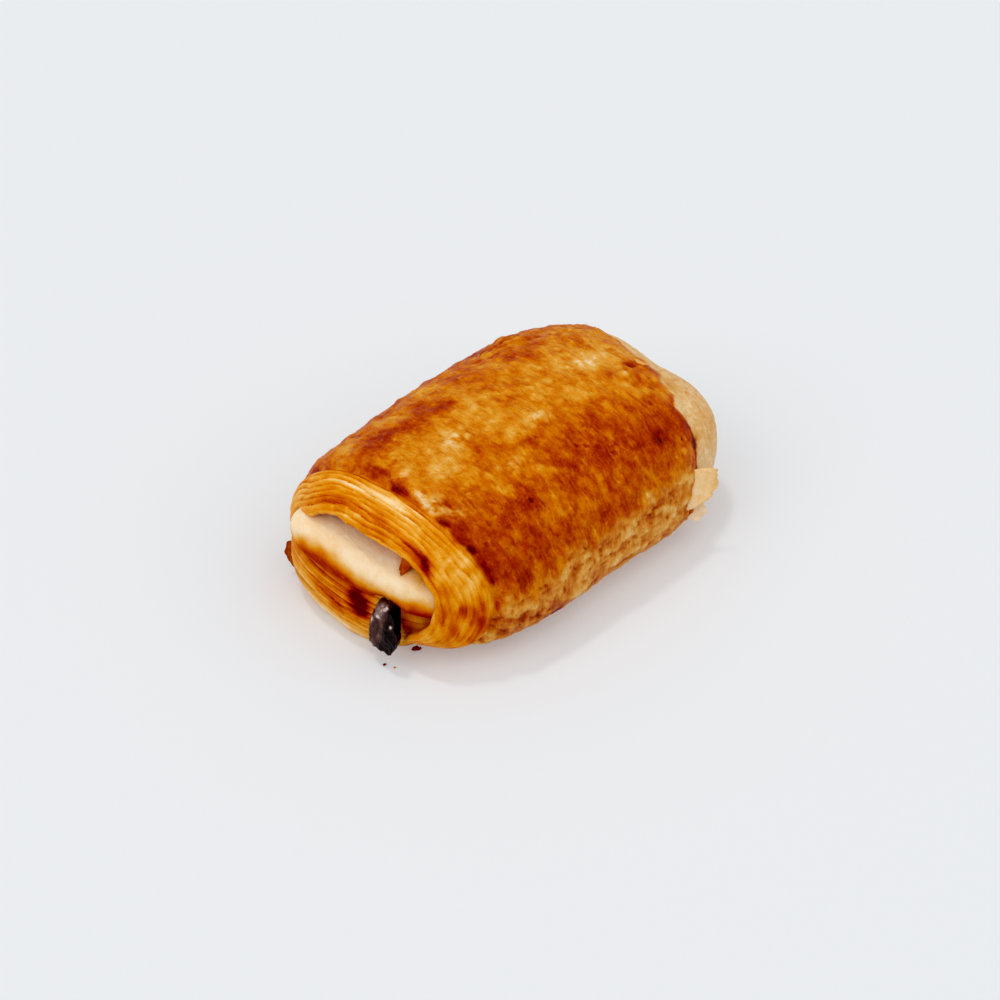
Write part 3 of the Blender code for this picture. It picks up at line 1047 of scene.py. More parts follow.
    band_marks: tuple[Mark, ...] = (
        # Painted highlight: the first two marks pale the crest of the cut layers where it catches the light
        Mark(3.2, 92.0, 1.0, 22.0, -0.20),
        Mark(3.2, 70.0, 1.1, 13.0, -0.30),
        Mark(0.9, 75.0, 0.9, 30.0, 0.10),
        Mark(7.0, 96.0, 0.9, 26.0, 0.28),
        Mark(4.6, 90.0, 0.8, 30.0, 0.10),
        Mark(7.4, 42.0, 0.9, 8.0, 0.50),
        Mark(8.6, 33.0, 1.0, 8.0, 0.45),
        Mark(4.0, 32.0, 3.0, 11.0, -0.10),
        Mark(5.5, 12.0, 2.2, 2.0, 0.16),
        Mark(2.5, 5.0, 1.4, 7.0, 0.18),
        Mark(5.0, 4.0, 5.0, 12.0, 0.18),
        Mark(4.5, 50.0, 2.5, 6.0, 0.08),
        Mark(9.0, 112.0, 2.0, 10.0, -0.05),
    )
    end_bake: float = 0.22
    end_low_adds: float = 0.16
    end_grains: tuple[Grain, ...] = (
        Grain(8.0, 56.0, 0.10),
        Grain(1.1, 57.0, 0.07, sharpness=2.0),
        Grain(5.0, 58.0, 0.09, line_width=0.05),
    )
    end_wash: float = 0.4
    foot_wash: float = 0.73
    edge_back: float = 0.6
    edge_waver: Grain = Grain(3.0, 55.0, 1.12, octaves=2)
    edge_soft: tuple[float, ...] = (52.0, 66.0, 95.0, 110.0)
    crevice_edge: Grain = Grain(3.5, 59.0, 1.3, octaves=2)
    end_marks: tuple[Mark, ...] = (
        Mark(34.0, 39.0, 5.0, 6.0, 3.4),
        Mark(36.0, 52.0, 4.0, 6.0, 1.5),
        Mark(34.0, 25.0, 4.0, 5.0, -1.0),
        Mark(38.0, 66.0, 4.0, 4.0, 1.0),
        Mark(40.0, 84.0, 4.0, 5.0, -1.0),
    )
    edge_lines: tuple[Mark, ...] = (
        Mark(-0.3, 97.0, 0.8, 17.0, 0.55),
        Mark(-0.6, 23.0, 0.9, 7.0, 0.35),
    )

    def crust(self, points: Array, degrees: Array) -> Array:
        """The browning of the egg-washed crust, with a painted sheen that pales its glossy blisters.

        Args:
            points: Points of the plain roll.
            degrees: Their angles round it.

        Returns:
            The browning, which may pass 1.
        """
        x = points[..., 0] + self.mark_waver.field(points)
        turned = degrees + self.mark_turn.field(points)
        bake = round_the_roll(self.round_profile, np.radians(turned))
        bake = with_marks(bake, self.crust_marks, x, turned)
        bake = with_grains(bake, self.mottles, points)
        near_blister = bump(np.linalg.norm(points - np.array(self.torn_blister), axis=-1), self.torn_size)
        folds = creases(TORN_FOLDS.field(points), 0.18)
        bake += near_blister * (self.torn_bake * folds - self.torn_pale)
        bake -= self.held_back * np.maximum(0.0, bake - self.held_from)
        # Painted highlight: the sheen pales the crust on its glossy blisters
        bake += self.sheen_bake * self.painted_sheen(points, degrees)
        past_crevice = self.form.past_crevice(points)
        here_and_there = ramp(self.crevice_waver.field(points), -0.3, 0.3)
        return bake + self.crevice_adds * bump(past_crevice + 0.4, 0.8) * here_and_there

    def painted_sheen(self, points: Array, degrees: Array) -> Array:
        """Where a painted sheen pales the crust, from 0 to 1, broken up into small spots: painted
        highlights on its glossy blisters.
        """
        share = with_marks(np.zeros_like(degrees), self.sheen_marks, points[..., 0], degrees)
        return np.clip(share, 0.0, 1.0) * ramp(self.sheen_flecks.field(points), -0.25, 0.35)

    def pale_foot(self, points: Array, degrees: Array) -> tuple[Array, Array]:
        """Where the near foot is pale, from 0 to 1, and its browning.

        Args:
            points: Points of the plain roll.
            degrees: Their angles round it.

        Returns:
            How much of each place is the foot, and how browned that is.
        """
        top = between_stations(self.pale_top, points[..., 0] / (0.5 * self.form.length))
        ragged_top = with_grains(top, self.foot_tongues, points)
        share = ramp(ragged_top - degrees, -2.0, 3.0) * ramp(degrees, *self.foot_low)
        bake = with_grains(np.full_like(degrees, self.foot_bake), self.foot_grains, points)
        bake = with_marks(bake, self.foot_marks, points[..., 0], degrees)
        return share, np.clip(bake, 0.05, 0.95)

    def band(self, points: Array, degrees: Array, step: Array, tone: Array) -> Array:
        """The browning of the cut layers between the crevice and the lip, with a painted highlight along
        their crest.

        Args:
            points: Points of the plain roll.
            degrees: Their angles round it.
            step: Their places within the layers.
            tone: The tones of those layers.

        Returns:
            The browning.
        """
        past = self.form.past_crevice(points) + self.band_waver.field(points)
        fades = 0.45 + 0.55 * ramp(self.band_fades.field(points), -0.35, 0.35)
        blurred = plateau(degrees, BLURRED_SIDE)
        layers = self.band_tone * tone + self.band_rims * step**5 - self.band_faces * bump(step - 0.25, 0.2)
        bake = self.band_bake + fades * blend(1.0, 0.4, blurred) * layers
        bake += blurred * self.band_blurred.field(points)
        bake = with_marks(bake, self.band_marks, past, degrees)
        return with_grains(bake, self.band_grains, points)

    def read(
        self, points: Array, degrees: Array, step: Array, tone: Array, bake: Array, foot: Array
    ) -> tuple[Array, Array]:
        """Reads the browning of the wrap.

        Args:
            points: Points of the plain roll.
            degrees: Their angles round it.
            step: Their places within the band's layers.
            tone: The tones of those layers.
            bake: The browning of the crust with its pale foot.
            foot: How much of each place is the pale foot.

        Returns:
            The browning, and how much egg wash each place got, both from 0 to 1. A painted sheen lowers
            both on the crust's glossy blisters, and the browning holds a painted highlight on the crest of
            the cut layers.
        """
        past_edge = self.form.past_far_edge(points) + self.edge_waver.field(points) + self.edge_back
        past_edge = with_marks(past_edge, self.end_marks, points[..., 0], degrees)
        end = self.end_bake + self.end_low_adds * ramp(points[..., 2], 16.0, 2.0)
        end = with_grains(end, self.end_grains, points)
        softness = 0.6 + 2.2 * plateau(degrees, self.edge_soft)
        in_end = ramp(past_edge / softness, -1.0, 1.0)
        bake = with_marks(blend(bake, end, in_end), self.edge_lines, past_edge, degrees)
        past_crevice = self.form.past_crevice(points) + self.crevice_edge.field(points)
        in_band = ramp(past_crevice, -0.3, 1.1)
        bake = blend(bake, self.band(points, degrees, step, tone), in_band)
        # Painted highlight: the sheen also takes away wash, which pales and dulls the colour
        sheen_share = self.painted_sheen(points, degrees) * (1.0 - in_band) * (1.0 - in_end)
        washed = blend(1.0, self.end_wash, in_end) * blend(1.0, self.foot_wash, foot * (1.0 - in_band))
        return np.clip(bake, 0.0, 1.0), washed + self.sheen_wash * sheen_share


@dataclass(frozen=True)
class BakedFinish:
    """Baked laminated dough. Its colour follows how browned each place is, from cream to near black.

    The attribute bake holds the browning from 0 to 1, with painted highlights and painted shade added in
    places, and wash holds how much egg wash the place got, which turns dull tans to warm ambers; a
    painted sheen lowers it in places. Patterns of real size add to the browning: streaks along the
    stretched layers, blotches where the dough blistered, fleck-like painted highlights, and fine specks.
    """

    name: str
    roughness: float
    coat: float
    streak_size: Spot
    streak_adds: float
    blotch_size: float = 2.4
    blotch_adds: float = 0.12
    # Pale fleck-like spots: painted highlights, as glints on blister tops
    glint_fleck_size: float = 1.5
    glint_fleck_adds: float = -0.12
    speck_size: float = 0.55
    speck_adds: float = 0.09
    bump_depth: float = 0.10
    streak_relief: float = 1.2
    specular: float = 0.03
    coat_roughness: float = 0.13
    coat_ior: float = 1.45
    follows_layers: bool = False

    WASHED = (
        (0.00, "#FBE0B4"),
        (0.14, "#F5C780"),
        (0.28, "#ECAA3E"),
        (0.41, "#E2901A"),
        (0.53, "#D67206"),
        (0.65, "#C25000"),
        (0.77, "#A82B00"),
        (0.89, "#841702"),
        (1.00, "#560C03"),
    )
    UNWASHED = (
        (0.00, "#F8E2C0"),
        (0.18, "#EFCB98"),
        (0.34, "#DFAC6A"),
        (0.50, "#C6853F"),
        (0.66, "#A05C22"),
        (0.82, "#6F3413"),
        (1.00, "#3F170A"),
    )

    def material(self) -> bpy.types.Material:
        """The finish as a material.

        Returns:
            The material.
        """
        made = bpy.data.materials.new(self.name)
        made.use_nodes = True
        tree = made.node_tree
        shader = tree.nodes["Principled BSDF"]
        streaks, blotches, glint_flecks, specks = self.patterns(tree)
        colour = self.colour(tree, self.browning(tree, streaks, blotches, glint_flecks, specks))
        tree.links.new(colour, shader.inputs["Base Color"])
        relief = add_node(
            tree, "ShaderNodeMath", {0: streaks, 1: self.streak_relief, 2: specks}, operation="MULTIPLY_ADD"
        )
        bumps = add_node(
            tree,
            "ShaderNodeBump",
            {"Height": relief.outputs[0], "Strength": 1.0, "Distance": self.bump_depth * MM},
        )
        for socket in ("Normal", "Coat Normal"):
            tree.links.new(bumps.outputs["Normal"], shader.inputs[socket])
        shader.inputs["Roughness"].default_value = self.roughness
        shader.inputs["Specular IOR Level"].default_value = self.specular
        shader.inputs["Coat Weight"].default_value = self.coat
        shader.inputs["Coat Roughness"].default_value = self.coat_roughness
        shader.inputs["Coat IOR"].default_value = self.coat_ior
        return made

    def patterns(self, tree: bpy.types.NodeTree) -> tuple[bpy.types.NodeSocket, ...]:
        """The streaks, blotches, fleck-like painted highlights and specks, each from 0 to 1.

        Args:
            tree: The material's node tree.

        Returns:
            Their sockets, in that order.
        """
        even = add_node(tree, "ShaderNodeTexCoord").outputs["Object"]
        if self.follows_layers:
            place = add_node(tree, "ShaderNodeAttribute", attribute_name="layers").outputs["Vector"]
            scale = tuple(1.0 / size for size in self.streak_size)
        else:
            place = even
            scale = tuple(1.0 / (MM * size) for size in self.streak_size)
        stretched = add_node(tree, "ShaderNodeMapping", {"Vector": place, "Scale": scale})
        streaks = add_node(
            tree,
            "ShaderNodeTexNoise",
            {
                "Vector": stretched.outputs["Vector"],
                "Scale": 1.0,
                "Detail": 4.0,
                "Roughness": 0.6,
                "Distortion": 0.4,
            },
        )
        scales = [1.0 / (MM * size) for size in (self.blotch_size, self.glint_fleck_size, self.speck_size)]
        spots = [
            add_node(tree, "ShaderNodeTexNoise", {"Vector": even, "Scale": scale, "Detail": 3.0})
            for scale in scales
        ]
        return tuple(texture.outputs["Fac"] for texture in (streaks, *spots))

    def browning(
        self,
        tree: bpy.types.NodeTree,
        streaks: bpy.types.NodeSocket,
        blotches: bpy.types.NodeSocket,
        glint_flecks: bpy.types.NodeSocket,
        specks: bpy.types.NodeSocket,
    ) -> bpy.types.NodeSocket:
        """The stored browning with what each pattern adds.

        Args:
            tree: The material's node tree.
            streaks: The pattern along the stretched layers.
            blotches: Where the dough blistered.
            glint_flecks: Where small painted highlights pale it, as on blister tops.
            specks: Its fine specks.

        Returns:
            The socket of the sum.
        """
        total = add_node(tree, "ShaderNodeAttribute", attribute_name="bake").outputs["Fac"]
        shares = (self.streak_adds, self.blotch_adds, self.speck_adds)
        for pattern, adds in zip((streaks, blotches, specks), shares):
            centred = add_node(
                tree, "ShaderNodeMath", {0: pattern, 1: 2.0 * adds, 2: -adds}, operation="MULTIPLY_ADD"
            )
            summed = add_node(tree, "ShaderNodeMath", {0: total, 1: centred.outputs[0]}, operation="ADD")
            total = summed.outputs[0]
        # Painted highlights: pale spots where the fleck noise is high
        pale = add_node(
            tree,
            "ShaderNodeMapRange",
            {"Value": glint_flecks, "From Min": 0.6, "From Max": 0.74, "To Max": self.glint_fleck_adds},
        )
        return add_node(tree, "ShaderNodeMath", {0: total, 1: pale.outputs[0]}, operation="ADD").outputs[0]

    def colour(self, tree: bpy.types.NodeTree, bake: bpy.types.NodeSocket) -> bpy.types.NodeSocket:
        """The colour of this browning, with and without wash.

        Args:
            tree: The material's node tree.
            bake: The socket of the browning.

        Returns:
            The socket of the colour.
        """
        washed, unwashed = (
            add_node(tree, "ShaderNodeValToRGB", {"Fac": bake}, stops=stops).outputs["Color"]
            for stops in (self.WASHED, self.UNWASHED)
        )
        wash = add_node(tree, "ShaderNodeAttribute", attribute_name="wash").outputs["Fac"]
        mixed = add_node(tree, "ShaderNodeMix", {0: wash, 6: unwashed, 7: washed}, data_type="RGBA")
        return mixed.outputs[2]


# Egg-washed crust: the wash bakes to a thin gloss over mottled caramel browns
GLAZED_CRUST = BakedFinish(
    "egg_washed_crust",
    roughness=0.5,
    coat=0.26,
    streak_size=(0.6, 2.6, 2.6),
    streak_adds=0.17,
    blotch_size=1.8,
    blotch_adds=0.12,
    speck_adds=0.10,
    bump_depth=0.42,
)

# The cut edge of the wrap: thin layers that follow the lip, with ochre faces and browned rims
CUT_LAYERS = BakedFinish(
    "cut_laminated_edge",
    roughness=0.55,
    coat=0.10,
    streak_size=(0.5, 9.0, 9.0),
    streak_adds=0.20,
    blotch_adds=0.05,
    glint_fleck_adds=-0.08,
    follows_layers=True,
)

# Dough that no wash reached: dry, soft and pale, with faint golden mottling
SOFT_DOUGH = BakedFinish(
    "unwashed_dough",
    roughness=0.7,
    coat=0.0,
    streak_size=(1.0, 4.0, 4.0),
    streak_adds=0.05,
    blotch_adds=0.05,
    glint_fleck_adds=-0.05,
    speck_adds=0.05,
)

# The folded layer under the opening: lamination lines that run along it, browned on their edges
FOLDED_LAYERS = BakedFinish(
    "browned_laminated_fold",
    roughness=0.55,
    coat=0.10,
    streak_size=(0.5, 10.0, 10.0),
    streak_adds=0.22,
    blotch_adds=0.07,
    glint_fleck_adds=-0.08,
    follows_layers=True,
)

# Thin torn leaves and crumbs: dry and crisp, some pale and some browned through
LEAF_CRUST = BakedFinish(
    "torn_crust_leaf",
    roughness=0.6,
    coat=0.05,
    streak_size=(0.8, 0.8, 0.8),
    streak_adds=0.08,
    blotch_adds=0.06,
    glint_fleck_adds=-0.1,
)


@dataclass(frozen=True)
class ChocolateFinish:
    """Dark chocolate that has warmed and set again: near black, with dull brown bloomed patches on it.

    Its attribute holds how much of the bloomed brown shows, with painted light on the lit side; above 0.8
    it is a painted whitish glint.
    """

    name: str = "bloomed_dark_chocolate"
    roughness: float = 0.34
    streak_size: Spot = (1.0, 1.0, 4.0)
    streak_adds: float = 0.34
    bump_depth: float = 0.35
    specular: float = 0.14

    # The top shades, towards whitish, colour the painted glints
    SHADES = (
        (0.00, "#080404"),
        (0.30, "#110808"),
        (0.50, "#2A1614"),
        (0.68, "#54332E"),
        (0.84, "#8A6C66"),
        (1.00, "#E2DAD6"),
    )

    def material(self) -> bpy.types.Material:
        """The finish as a material.

        Returns:
            The material.
        """
        made = bpy.data.materials.new(self.name)
        made.use_nodes = True
        tree = made.node_tree
        shader = tree.nodes["Principled BSDF"]
        place = add_node(tree, "ShaderNodeTexCoord").outputs["Object"]
        scale = tuple(1.0 / (MM * size) for size in self.streak_size)
        stretched = add_node(tree, "ShaderNodeMapping", {"Vector": place, "Scale": scale})
        streaks = add_node(
            tree,
            "ShaderNodeTexNoise",
            {"Vector": stretched.outputs["Vector"], "Scale": 1.0, "Detail": 6.0, "Roughness": 0.7},
        )
        bloom_and_painted_light = add_node(tree, "ShaderNodeAttribute", attribute_name="bloom_and_painted_light").outputs["Fac"]
        centred = add_node(
            tree,
            "ShaderNodeMath",
            {0: streaks.outputs["Fac"], 1: 2.0 * self.streak_adds, 2: -self.streak_adds},
            operation="MULTIPLY_ADD",
        )
        total = add_node(tree, "ShaderNodeMath", {0: bloom_and_painted_light, 1: centred.outputs[0]}, operation="ADD")
        colour = add_node(tree, "ShaderNodeValToRGB", {"Fac": total.outputs[0]}, stops=self.SHADES)
        tree.links.new(colour.outputs["Color"], shader.inputs["Base Color"])
        bumps = add_node(
            tree,
            "ShaderNodeBump",
            {"Height": streaks.outputs["Fac"], "Strength": 1.0, "Distance": self.bump_depth * MM},
        )
        tree.links.new(bumps.outputs["Normal"], shader.inputs["Normal"])
        shader.inputs["Roughness"].default_value = self.roughness
        shader.inputs["Specular IOR Level"].default_value = self.specular
        return made


@dataclass
class OuterWrap:
    """The outer turn of dough: far end, glazed crust, cut layers, lip, and the opening inside it.

    Its mesh is one grid of rows from the far pole to the middle of the opening's floor.
    """

    form: RollForm
    columns: int = 356
    lip_round: float = 0.9
    lip_waver: float = 0.4
    lip_grains: tuple[Grain, ...] = (Grain(4.5, 61.0, octaves=2), Grain(9.0, 62.0, 0.8, sharpness=4.0))
    lip_back: float = 3.4
    lip_back_angles: tuple[float, ...] = (122.0, 150.0, 334.0, 350.0)
    lip_limit: float = -0.995
    lip_rows: int = 7
    lip_bake: float = 0.38
    # Painted shade: the browning that the opening's wall and floor darken to, in the lip's shade
    shaded_wall_bake: float = 0.62
    shaded_floor_bake: float = 0.66
    opening_wash: float = 0.8
    far_end_crowding: float = 2.2
    layers_round: float = 0.4

    def build(self) -> bpy.types.Object:
        """Makes the wrap's mesh with its attributes and finishes.

        Returns:
            The object.
        """
        angle = 2.0 * math.pi * np.arange(self.columns) / self.columns
        along = self.stations(angle)
        angles = np.broadcast_to(angle, along.shape)
        degrees = (np.degrees(angles) + 90.0) % 360.0 - 90.0
        plain = self.form.point(along, angles)
        relief = CrustRelief(self.form)
        step, tone = relief.layers.read(self.form.past_crevice(plain), plain)
        blister_height, blister_browning = Blisters().read(plain[..., 0], degrees)
        browning = Browning(self.form)
        foot, foot_bake = browning.pale_foot(plain, degrees)
        height = relief.height(plain, degrees, step, blister_height, foot)
        height[0] = 0.0
        skin = plain + self.form.outward(along, angles) * height[..., None]
        grid = np.concatenate((skin, self.opening(skin[-1], angle)))
        grid[..., 2] = np.maximum(grid[..., 2], 0.0)
        crust = blend(browning.crust(plain, degrees) + blister_browning, foot_bake, foot)
        bake, wash = browning.read(plain, degrees, step, tone, crust, foot)
        bake = self.opening_bake_and_shade(bake)
        wash = np.concatenate((wash, np.full_like(bake[len(wash) :], self.opening_wash)))
        past = self.form.past_crevice(grid)
        around = self.layers_round * np.broadcast_to(degrees[0], past.shape)
        layers = np.stack((past, around, np.zeros_like(past)), axis=-1)
        item = build_object("outer_wrap", [Form(grid, {"bake": bake, "wash": wash, "layers": layers})])
        self.dress(item)
        return item

    def stations(self, angle: Array) -> Array:
        """Places along the roll of the rows from the far pole to the lip, which wavers a little.

        Args:
            angle: Directions round the roll.

        Returns:
            One row of places for each row of the grid, from -1 to 1.
        """
        edge = self.form.far_edge_station(angle)
        crevice = self.form.crevice_station(angle)
        lip = self.form.lip_station(angle)
        spots = self.form.point(lip, angle)
        ragged = with_grains(np.zeros_like(lip), self.lip_grains, spots)
        back = self.lip_back * plateau(np.degrees(angle), self.lip_back_angles)
        moved = lip + (self.lip_waver * ragged + back) * 2.0 / self.form.length
        lip = np.maximum(moved, self.lip_limit)
        far_end, crust, band = Zone.FAR_END.value, Zone.CRUST.value, Zone.BAND.value
        rows = [1.0 - (1.0 - edge) * (i / far_end) ** self.far_end_crowding for i in range(far_end)]
        rows += [blend(edge, crevice, i / crust) for i in range(crust)]
        rows += [blend(crevice, lip, i / band) for i in range(band + 1)]
        return np.stack(rows)

    def opening(self, lip: Array, angle: Array) -> Array:
        """Rows of points over the rounded lip, down the opening's wall and across its floor.

        Args:
            lip: The points of the lip.
            angle: Directions round the roll.

        Returns:
            The rows of points, in mm.
        """
        mouth = self.form.mouth
        centre = np.array(mouth.centre)
        inward = centre - lip[:, 1:]
        inward /= np.linalg.norm(inward, axis=-1, keepdims=True)
        rows = []
        round_rows = Zone.WALL.value // 2
        for i in range(1, Zone.WALL.value + 1):
            turn = 0.5 * math.pi * min(1.0, i / round_rows)
            down = max(0.0, (i - round_rows) / (Zone.WALL.value - round_rows))
            start_x = lip[:, 0] + self.lip_round * (1.0 - math.cos(turn))
            x = blend(start_x, np.maximum(start_x, mouth.floor_x), down)
            across = lip[:, 1:] + inward * self.lip_round * math.sin(turn)
            rows.append(np.concatenate((x[:, None], across), axis=-1))
        edge = rows[-1]
        middle = np.array((mouth.floor_x, *mouth.centre))
        for i in range(1, Zone.FLOOR.value):
            rows.append(blend(edge, middle, i / Zone.FLOOR.value))
        rows.append(np.broadcast_to(middle, edge.shape))
        return np.stack(rows)

    def opening_bake_and_shade(self, bake: Array) -> Array:
        """The browning with the rows of the opening added: a paler lip, and a wall and floor darkened with
        painted shade under the lip.

        Args:
            bake: The browning down to the lip.

        Returns:
            The browning of every row.
        """
        rows = bake.shape[0]
        near_lip = ramp(np.arange(rows), rows - self.lip_rows, rows - 1)[:, None]
        skin = blend(bake, np.minimum(bake, self.lip_bake), 0.6 * near_lip)
        inner = []
        # Painted shade: the opening's wall and floor darken as the lip shades them
        for i in range(1, Zone.WALL.value + Zone.FLOOR.value + 1):
            depth = min(1.0, i / (0.6 * Zone.WALL.value))
            target = self.shaded_wall_bake if i <= Zone.WALL.value else self.shaded_floor_bake
            inner.append(blend(skin[-1], np.full_like(skin[-1], target), depth))
        return np.concatenate((skin, np.stack(inner)))

    def dress(self, item: bpy.types.Object) -> None:
        """Gives the crust and the cut layers their finishes.

        Args:
            item: The wrap.
        """
        for finish in (GLAZED_CRUST, CUT_LAYERS):
            item.data.materials.append(finish.material())
        first_band = Zone.FAR_END.value + Zone.CRUST.value
        row = read_whole_numbers(item, "row")
        corners = np.zeros(len(item.data.loops), np.int32)
        item.data.loops.foreach_get("vertex_index", corners)
        starts = np.zeros(len(item.data.polygons), np.int32)
        item.data.polygons.foreach_get("loop_start", starts)
        face_row = np.minimum.reduceat(row[corners], starts)
        item.data.polygons.foreach_set("material_index", (face_row >= first_band).astype(np.int32))


@dataclass(frozen=True)
class DoughFold:
    """A cushion of dough across the wound end. It turns and tilts with y, bows back and has layers."""

    name: str
    centre: Spot
    half: Spot
    squareness: float
    end_squareness: float
    finish: BakedFinish
    base_bake: float
    wash: float
    turn: float = 0.0
    tilt: float = 0.0
    bow: float = 0.0
    groove: float = 0.0
    grooves: float = 7.0
    groove_twist: float = 1.2
    layers: Lamination | None = None
    layer_stretch: Spot = (1.0, 0.45, 1.0)
    layer_depth: float = 0.35
    layer_bake: float = 0.24
    layer_tone: float = 0.35
    layer_face: float = 0.3
    layers_fade: tuple[float, float] = (0.2, 0.6)
    swell: float = 0.3
    swells: tuple[Grain, ...] = (Grain(8.0, 31.0), Grain(2.6, 33.0, 0.4, octaves=2))
    patch_waver: Grain = Grain(3.0, 35.0, 0.8)
    mottle: Grain = Grain(2.2, 37.0, 0.04, octaves=2, sharpness=2.0)
    underside: tuple[float, ...] = ()
    underside_adds: float = 0.55
    patches: tuple[Patch, ...] = ()
    dents: tuple[Patch, ...] = ()
    rows: int = 190
    columns: int = 220

    def build(self) -> bpy.types.Object:
        """Makes the cushion with its attributes and finish.

        Returns:
            The object.
        """
        row, column = np.mgrid[0 : self.rows + 1, 0 : self.columns]
        along = -np.cos(math.pi * row / self.rows)
        angle = 2.0 * math.pi * column / self.columns
        across = along * self.half[1]
        arc = angle * 0.5 * (self.half[0] + self.half[2])
        shrink = self.shrink(along)
        radius = shrink * oval_radius(angle, self.half[0], self.half[2], self.squareness)
        radius += self.groove * shrink * np.cos(self.grooves * angle + self.groove_twist * along)
        plain = self.placed(across, radius, angle)
        height, bake = self.surface(plain, along, arc, shrink)
        points = self.placed(across, radius + shrink * height, angle)
        points[..., 2] = np.maximum(points[..., 2], 0.0)
        layers = np.stack((arc, plain[..., 1], np.zeros_like(arc)), axis=-1)
        wash = blend(self.wash, 1.0, ramp(bake, 0.15, 0.5))
        values = {"bake": np.clip(bake, 0.0, 1.0), "wash": wash, "layers": layers}
        item = build_object(self.name, [Form(points, values)])
        item.data.materials.append(self.finish.material())
        return item

    def shrink(self, along: Array) -> Array:
        """How full the cushion is at along, from 0 at its two poles to 1 in its middle.

        Args:
            along: Places from one pole to the other, from -1 to 1.

        Returns:
            One share for each place.
        """
        shrink = np.maximum(0.0, 1.0 - np.abs(along) ** self.end_squareness)
        shrink = shrink ** (1.0 / self.end_squareness)
        shrink[0] = 0.0
        shrink[-1] = 0.0
        return shrink

    def surface(self, plain: Array, along: Array, arc: Array, shrink: Array) -> tuple[Array, Array]:
        """Reads the relief and the browning of the plain cushion.

        Args:
            plain: Its points.
            along: Their places from one pole to the other, from -1 to 1.
            arc: Their distances round the cushion in mm.
            shrink: How full the cushion is there.

        Returns:
            How far the surface stands out in mm, and its browning.
        """
        height = self.swell * with_grains(np.zeros_like(along), self.swells, plain)
        bake = np.full_like(along, self.base_bake)
        if self.layers:
            step, tone = self.layers.read(arc, plain * np.array(self.layer_stretch))
            off_pole = ramp(shrink, *self.layers_fade)
            height -= self.layer_depth * off_pole * step**3
            lines = step**5 + self.layer_tone * tone - self.layer_face * bump(step - 0.25, 0.2)
            bake += self.layer_bake * off_pole * lines
        for dent in self.dents:
            height += dent.field(plain)
        pushed = plain + self.patch_waver.field(plain)[..., None]
        if self.underside:
            below = between_stations(self.underside, along) - pushed[..., 2]
            bake += self.underside_adds * ramp(below, -1.0, 5.5)
        for patch in self.patches:
            bake += patch.field(pushed)
        return height, bake + self.mottle.field(plain)

    def placed(self, across: Array, radius: Array, angle: Array) -> Array:
        """Points at these distances across the roll and from the cushion's own axis.

        Args:
            across: Distances along its axis in mm.
            radius: Distances from it.
            angle: Their directions.

        Returns:
            The points in mm.
        """
        x = self.centre[0] - self.turn * across + self.bow * across * across - radius * np.cos(angle)
        z = self.centre[2] + self.tilt * across + radius * np.sin(angle)
        return np.stack((x, self.centre[1] + across, z), axis=-1)


